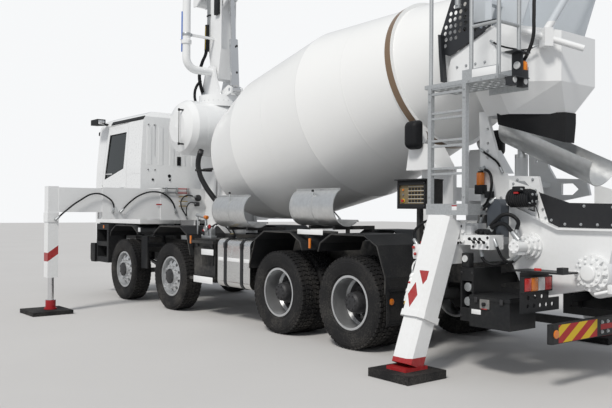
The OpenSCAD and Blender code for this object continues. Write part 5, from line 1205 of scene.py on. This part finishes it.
for number, (x, lean) in enumerate(((-1.0, 0.0), (-1.04, 0.04))):
    route = [(-0.96 - lean, 0.232, 3.60), (-0.92 - lean, 0.26, 3.76), (-0.91 - lean, 0.275, 3.95),
             (-0.96 - lean, 0.25, 4.15), (x + 0.015, 0.20, 4.29), (x, 0.188, 4.40)]
    line = hose(f"pivot_hose_{number}", route, 0.019, None, sleeves=False)
    tuple(at(-1.0, 0.2, 3.80))
    tuple(at(-1.0, 0.2, 4.20))
    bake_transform(line)
    done(rod(f"pivot_port_{number}", (-0.96 - lean, 0.205, 3.60), (-0.96 - lean, 0.245, 3.60), 0.024, 16),
         zinc, "turret")
bearing = []
for k in range(28):
    angle = 2 * math.pi * k / 28
    bearing.append((mast_x + 0.389 * math.cos(angle), 0.389 * math.sin(angle), 3.43))
bolts("bearing_bolts", bearing, upwards, zinc, scale=0.8)
for number, z in enumerate((4.40, 7.38)):
    lever = [block("ear_a", (-1.13, 0.67, z), (-1.10, 0.71, z + 0.05), 0.005),
             rod("lever", (-1.11, 0.69, z + 0.025), (-1.16, 0.785, z + 0.04), 0.009, 12),
             block("ear_b", (-1.30, 0.67, z), (-1.27, 0.71, z + 0.05), 0.005)]
    group(f"coupling_lever_{number}", lever, white_paint, "arm_1")
for number, z in enumerate((4.50, 6.54, 8.54)):
    hoop = [rod("hoop", (mast_x, 0.69, z), (mast_x, 0.69, z + 0.05), 0.074, 40, 0.05),
            block("hoop_ear", (-1.235, 0.60, z), (-1.165, 0.63, z + 0.05), 0.004)]
    group(f"pipe_hoop_{number}", hoop, zinc, "arm_1")
hose("pedestal_boot", [(-0.86, 0.30, 3.44), (-0.83, 0.31, 3.58), (-0.86, 0.30, 3.72), (-0.93, 0.245, 3.84)],
     0.024, "turret", sleeves=False)
luff_caps = [rod(f"luff_port_{k}", (-1.68, 0.0, z), (-1.70 + 0.005 * k, 0.0, z), 0.02, 12)
             for k, z in enumerate((3.9, 4.35))]
group("luff_ports", luff_caps, dark_steel, "luff_barrel")

# %% [markdown]
# Low down on the frame: the fuel tank's cap and reflective band, valves on the battery box, folded
# lips on the mudguards, mud flaps, markers, and posts that hold the stored chute extensions.

# %% Frame's small parts
cap = [rod("cap_neck", (-3.21, 1.05, 1.165), (-3.21, 1.05, 1.20), 0.05, 32),
       rod("cap", (-3.21, 1.05, 1.195), (-3.21, 1.05, 1.235), 0.062, 10)]
group("fuel_cap", cap, black_plastic)
done(rod("fuel_cap_ring", (-3.21, 1.05, 1.2345), (-3.21, 1.05, 1.238), 0.034, 28), yellow_film)
for number, (a, b) in enumerate(((-3.665, -3.35), (-3.25, -3.115), (-3.90, -3.765))):
    done(block(f"tank_band_{number}", (a, 1.2190, 0.86), (b, 1.2215, 0.91), 0.0006), white_paint)
tighteners = [block(f"strap_bolt_{x}", (x - 0.02, 1.226, 1.04), (x + 0.02, 1.245, 1.12))
              for x in (-3.715, -3.30)]
group("strap_tighteners", tighteners, dark_steel)

valves = [block("valve_rail", (-2.68, 0.98, 1.149), (-2.40, 1.08, 1.19), 0.005),
          block("valve_1", (-2.66, 0.99, 1.185), (-2.60, 1.07, 1.30), 0.008),
          block("valve_2", (-2.56, 0.99, 1.185), (-2.49, 1.07, 1.27), 0.008),
          rod("valve_tube", (-2.45, 1.03, 1.18), (-2.45, 1.03, 1.46), 0.02, 16)]
group("frame_valves", valves, zinc)
lathe("frame_dial", (-2.52, 1.07, 1.30), [(0.0004, 0.0), (0.05, 0.0), (0.052, 0.012), (0.046, 0.018),
      (0.042, 0.012), (0.0004, 0.012)], zinc, sides=36)
for number, place in enumerate(((-2.63, 1.075, 1.315), (-2.60, 1.06, 1.34), (-2.46, 1.075, 1.27))):
    knob(f"frame_knob_{number}", *place, red_paint, size=1.3)
done(rod("frame_filter", (-2.21, 1.05, 1.50), (-2.45, 1.05, 1.47), 0.026, 20), zinc)
done(rod("frame_filter_end", (-2.45, 1.05, 1.47), (-2.52, 1.05, 1.462), 0.029, 20), amber_lens)
done(rod("frame_filter_leg", (-2.24, 1.05, 1.20), (-2.24, 1.05, 1.50), 0.013, 14), zinc)
routes = [
    [(-2.30, 0.98, 1.15), (-2.26, 1.02, 1.24), (-2.20, 1.04, 1.32), (-2.12, 0.98, 1.40), (-2.0, 0.86, 1.42)],
    [(-2.63, 1.0, 1.30), (-2.66, 0.95, 1.38), (-2.75, 0.88, 1.38), (-2.84, 0.80, 1.28), (-2.86, 0.76, 1.15)],
    [(-2.525, 1.0, 1.27), (-2.53, 0.93, 1.35), (-2.60, 0.85, 1.36), (-2.70, 0.76, 1.25), (-2.72, 0.72, 1.15)],
]
for number, route in enumerate(routes):
    hose(f"frame_hose_{number}", route, 0.011)

# Each guard's middle, reach, top, the height of its front and rear end, and its side. Its end
# plates stand upright up to the knee, and slope inwards from there.
knee_z = 0.86
guards = [(0.0, 0.66, 1.295, 1.10, 1.15, 1.228), (-1.70, 0.66, 1.31, 1.15, 0.89, 1.238),
          (-4.55, 0.61, 1.30, 0.80, 1.09, 1.243), (-5.90, 0.61, 1.30, 1.09, 0.68, 1.243)]
for number, (x, r, top, low_front, low_rear, y) in enumerate(guards, 1):
    line = [(r, low_front), (r, knee_z), (r - 0.13, top - 0.11), (r - 0.33, top),
            (0.33 - r, top), (0.13 - r, top - 0.11), (-r, knee_z), (-r, low_rear)]
    slope_height = top - 0.11 - knee_z
    if low_front > knee_z:
        share = (low_front - knee_z) / slope_height
        line[:2] = [(r - 0.13 * share, low_front)]
    if low_rear > knee_z:
        share = (low_rear - knee_z) / slope_height
        line[-2:] = [(0.13 * share - r, low_rear)]
    for side, word in SIDES:
        lip = [rod(f"lip_{k}", (x + a[0], side * y, a[1]), (x + b[0], side * y, b[1]), 0.009, 10, 0.05)
               for k, (a, b) in enumerate(zip(line, line[1:]))]
        group(f"guard_lip_{number}_{word}", lip, black_paint, smooth=60)
for side, word in SIDES:
    flap = block(f"mud_flap_{word}", (-6.534, side * 0.60, 0.34), (-6.520, side * 1.235, 0.74), 0.003)
    pick(flap, lambda centre, normal: normal.x < -0.9)
    bpy.ops.mesh.inset(thickness=0.03, depth=-0.003)
    done(flap, black_rubber)
    dot = turned(f"flap_reflector_{word}", (0, 0, 0), [(0.0004, 0.0), (0.035, 0.0), (0.035, 0.006),
                 (0.0004, 0.012)], sides=36)
    done(moved(dot, (-6.534, side * 1.17, 0.60), to_rear), amber_lens)
    for number, (x, y, z) in enumerate(((-2.36, 1.241, 1.07), (-5.225, 1.247, 1.12))):
        done(block(f"side_marker_{word}_{number}", (x - 0.018, side * y - 0.008, z),
                   (x + 0.018, side * y + 0.008, z + 0.12)), amber_lens)
    done(block(f"guard_label_{word}", (-0.645, side * 1.2285 - 0.0015, 1.20),
               (-0.56, side * 1.2285 + 0.0015, 1.27), 0.0006), white_paint)
for number, x in enumerate((-3.375, -5.225)):
    post = [rod("post", (x, 1.205, 1.62), (x, 1.205, 1.81), 0.011, 14),
            rod("post_foot", (x, 1.205, 1.62), (x, 1.17, 1.60), 0.011, 14)]
    group(f"chute_post_{number}", post, zinc)
    knob(f"chute_post_top_{number}", x, 1.205, 1.815, black_plastic, size=1.1)

# %% Front of the cab
for number, y in enumerate((-0.62, 0.02, 0.66)):
    wiper = [rod("pivot", (1.405, y, 2.03), (1.45, y, 2.035), 0.018, 16),
             rod("arm", (1.442, y, 2.035), (1.412, y - 0.32, 2.46), 0.007, 12),
             rod("blade", (1.432, y - 0.28, 2.16), (1.388, y - 0.36, 2.78), 0.008, 8)]
    group(f"wiper_{number}", wiper, black_plastic, "cab")
done(block("grille_back", (1.322, -0.64, 1.10), (1.338, 0.64, 1.58), 0.003), black_plastic, "cab")
for number, z in enumerate((1.175, 1.345, 1.515)):
    done(block(f"grille_bar_{number}", (1.37, -0.615, z - 0.012), (1.405, 0.615, z + 0.012), 0.004),
         black_plastic, "cab")
for side, word in SIDES:
    done(block(f"head_lens_{word}", (1.4355, side * 0.775, 0.712), (1.443, side * 1.135, 0.828), 0.003),
         clear_lens)
    done(block(f"head_turn_{word}", (1.4425, side * 1.06, 0.715), (1.447, side * 1.13, 0.825), 0.002),
         amber_lens)
done(block("front_plate", (1.4395, -0.26, 0.775), (1.4435, 0.26, 0.885), 0.001), white_paint)
done(block("battery_plate", (-2.94, 1.1945, 0.915), (-2.60, 1.1985, 1.0), 0.001), white_paint)
done(block("step_plate", (-3.0, 1.2405, 0.505), (-2.46, 1.2445, 0.60), 0.001), white_paint)
done(block("guard_bar", (-5.66, 1.17, 1.311), (-4.79, 1.205, 1.335), 0.003), black_paint)
done(block("guard_plate", (-5.42, 1.204, 1.285), (-4.93, 1.208, 1.345), 0.001), white_paint)
hinges = [block(f"battery_hinge_{x}", (x, 1.19, 1.03), (x + 0.05, 1.203, 1.07), 0.003)
          for x in (-2.92, -2.50)]
group("battery_hinges", hinges, dark_steel)

# %% Masters put away
for master in (small_bolt, ball):
    bpy.data.objects.remove(master)

# %% [markdown]
# The camera stands where the photographer stood: 1.57 m above the ground, about nine metres
# from the truck's left side. It was found by matching the wheels and the drum to the picture.

# %% Camera, light and floor
yaw, pitch, roll = -0.674, 0.010, 0.007
forward = Vector((math.cos(yaw) * math.cos(pitch), math.sin(yaw) * math.cos(pitch), math.sin(pitch)))
right = Vector((math.sin(yaw), -math.cos(yaw), 0))
up = right.cross(forward)
side = right * math.cos(roll) + up * math.sin(roll)
top = up * math.cos(roll) - right * math.sin(roll)
eye = bpy.data.cameras.new("eye")
eye.sensor_width = 36.0
focal_pixels, picture_width = 740.27, 612
eye.lens = focal_pixels / picture_width * eye.sensor_width
eye.clip_end = 200
camera = bpy.data.objects.new("camera", eye)
bpy.context.collection.objects.link(camera)
turn = Matrix((side, top, -forward)).transposed().to_4x4()
camera.matrix_world = Matrix.Translation((-12.172 + shift_x, 6.857, 1.565)) @ turn
bpy.context.scene.camera = camera

scene = bpy.context.scene
scene.view_settings.view_transform = "Standard"
world = bpy.data.worlds.new("studio")
scene.world = world
world.use_nodes = True
sky = world.node_tree.nodes["Background"]
sky.inputs["Color"].default_value = (0.9, 0.94, 1.0, 1)
sky.inputs["Strength"].default_value = 0.52
plain = Sock(world.node_tree, None)
backdrop = plain.node("ShaderNodeBackground", Color=(0.93, 0.94, 0.95, 1), Strength=1.0)
seen = plain.node("ShaderNodeLightPath", output=0)
both_lights = plain.node("ShaderNodeMixShader", i0=seen, i1=Sock(world.node_tree, sky.outputs[0]),
                         i2=backdrop)
world.node_tree.links.new(both_lights.socket, world.node_tree.nodes["World Output"].inputs["Surface"])

sun_data = bpy.data.lights.new("sun", "SUN")
sun_data.energy = 2.25
sun_data.angle = math.radians(12)
sun_data.color = (1.0, 0.97, 0.92)
sun = bpy.data.objects.new("sun", sun_data)
sun.rotation_euler = (math.radians(-38), math.radians(-22), 0)
bpy.context.collection.objects.link(sun)

floor = start("plane", "floor", size=160, location=(0, 0, 0))
floor_finish, floor_shader, floor_place = material("floor_finish", roughness=0.9)
feed(floor_shader, "Base Color", noise(floor_place, 0.4, 4).mix((0.56, 0.55, 0.54), (0.62, 0.61, 0.6)))
floor.data.materials.append(floor_finish)
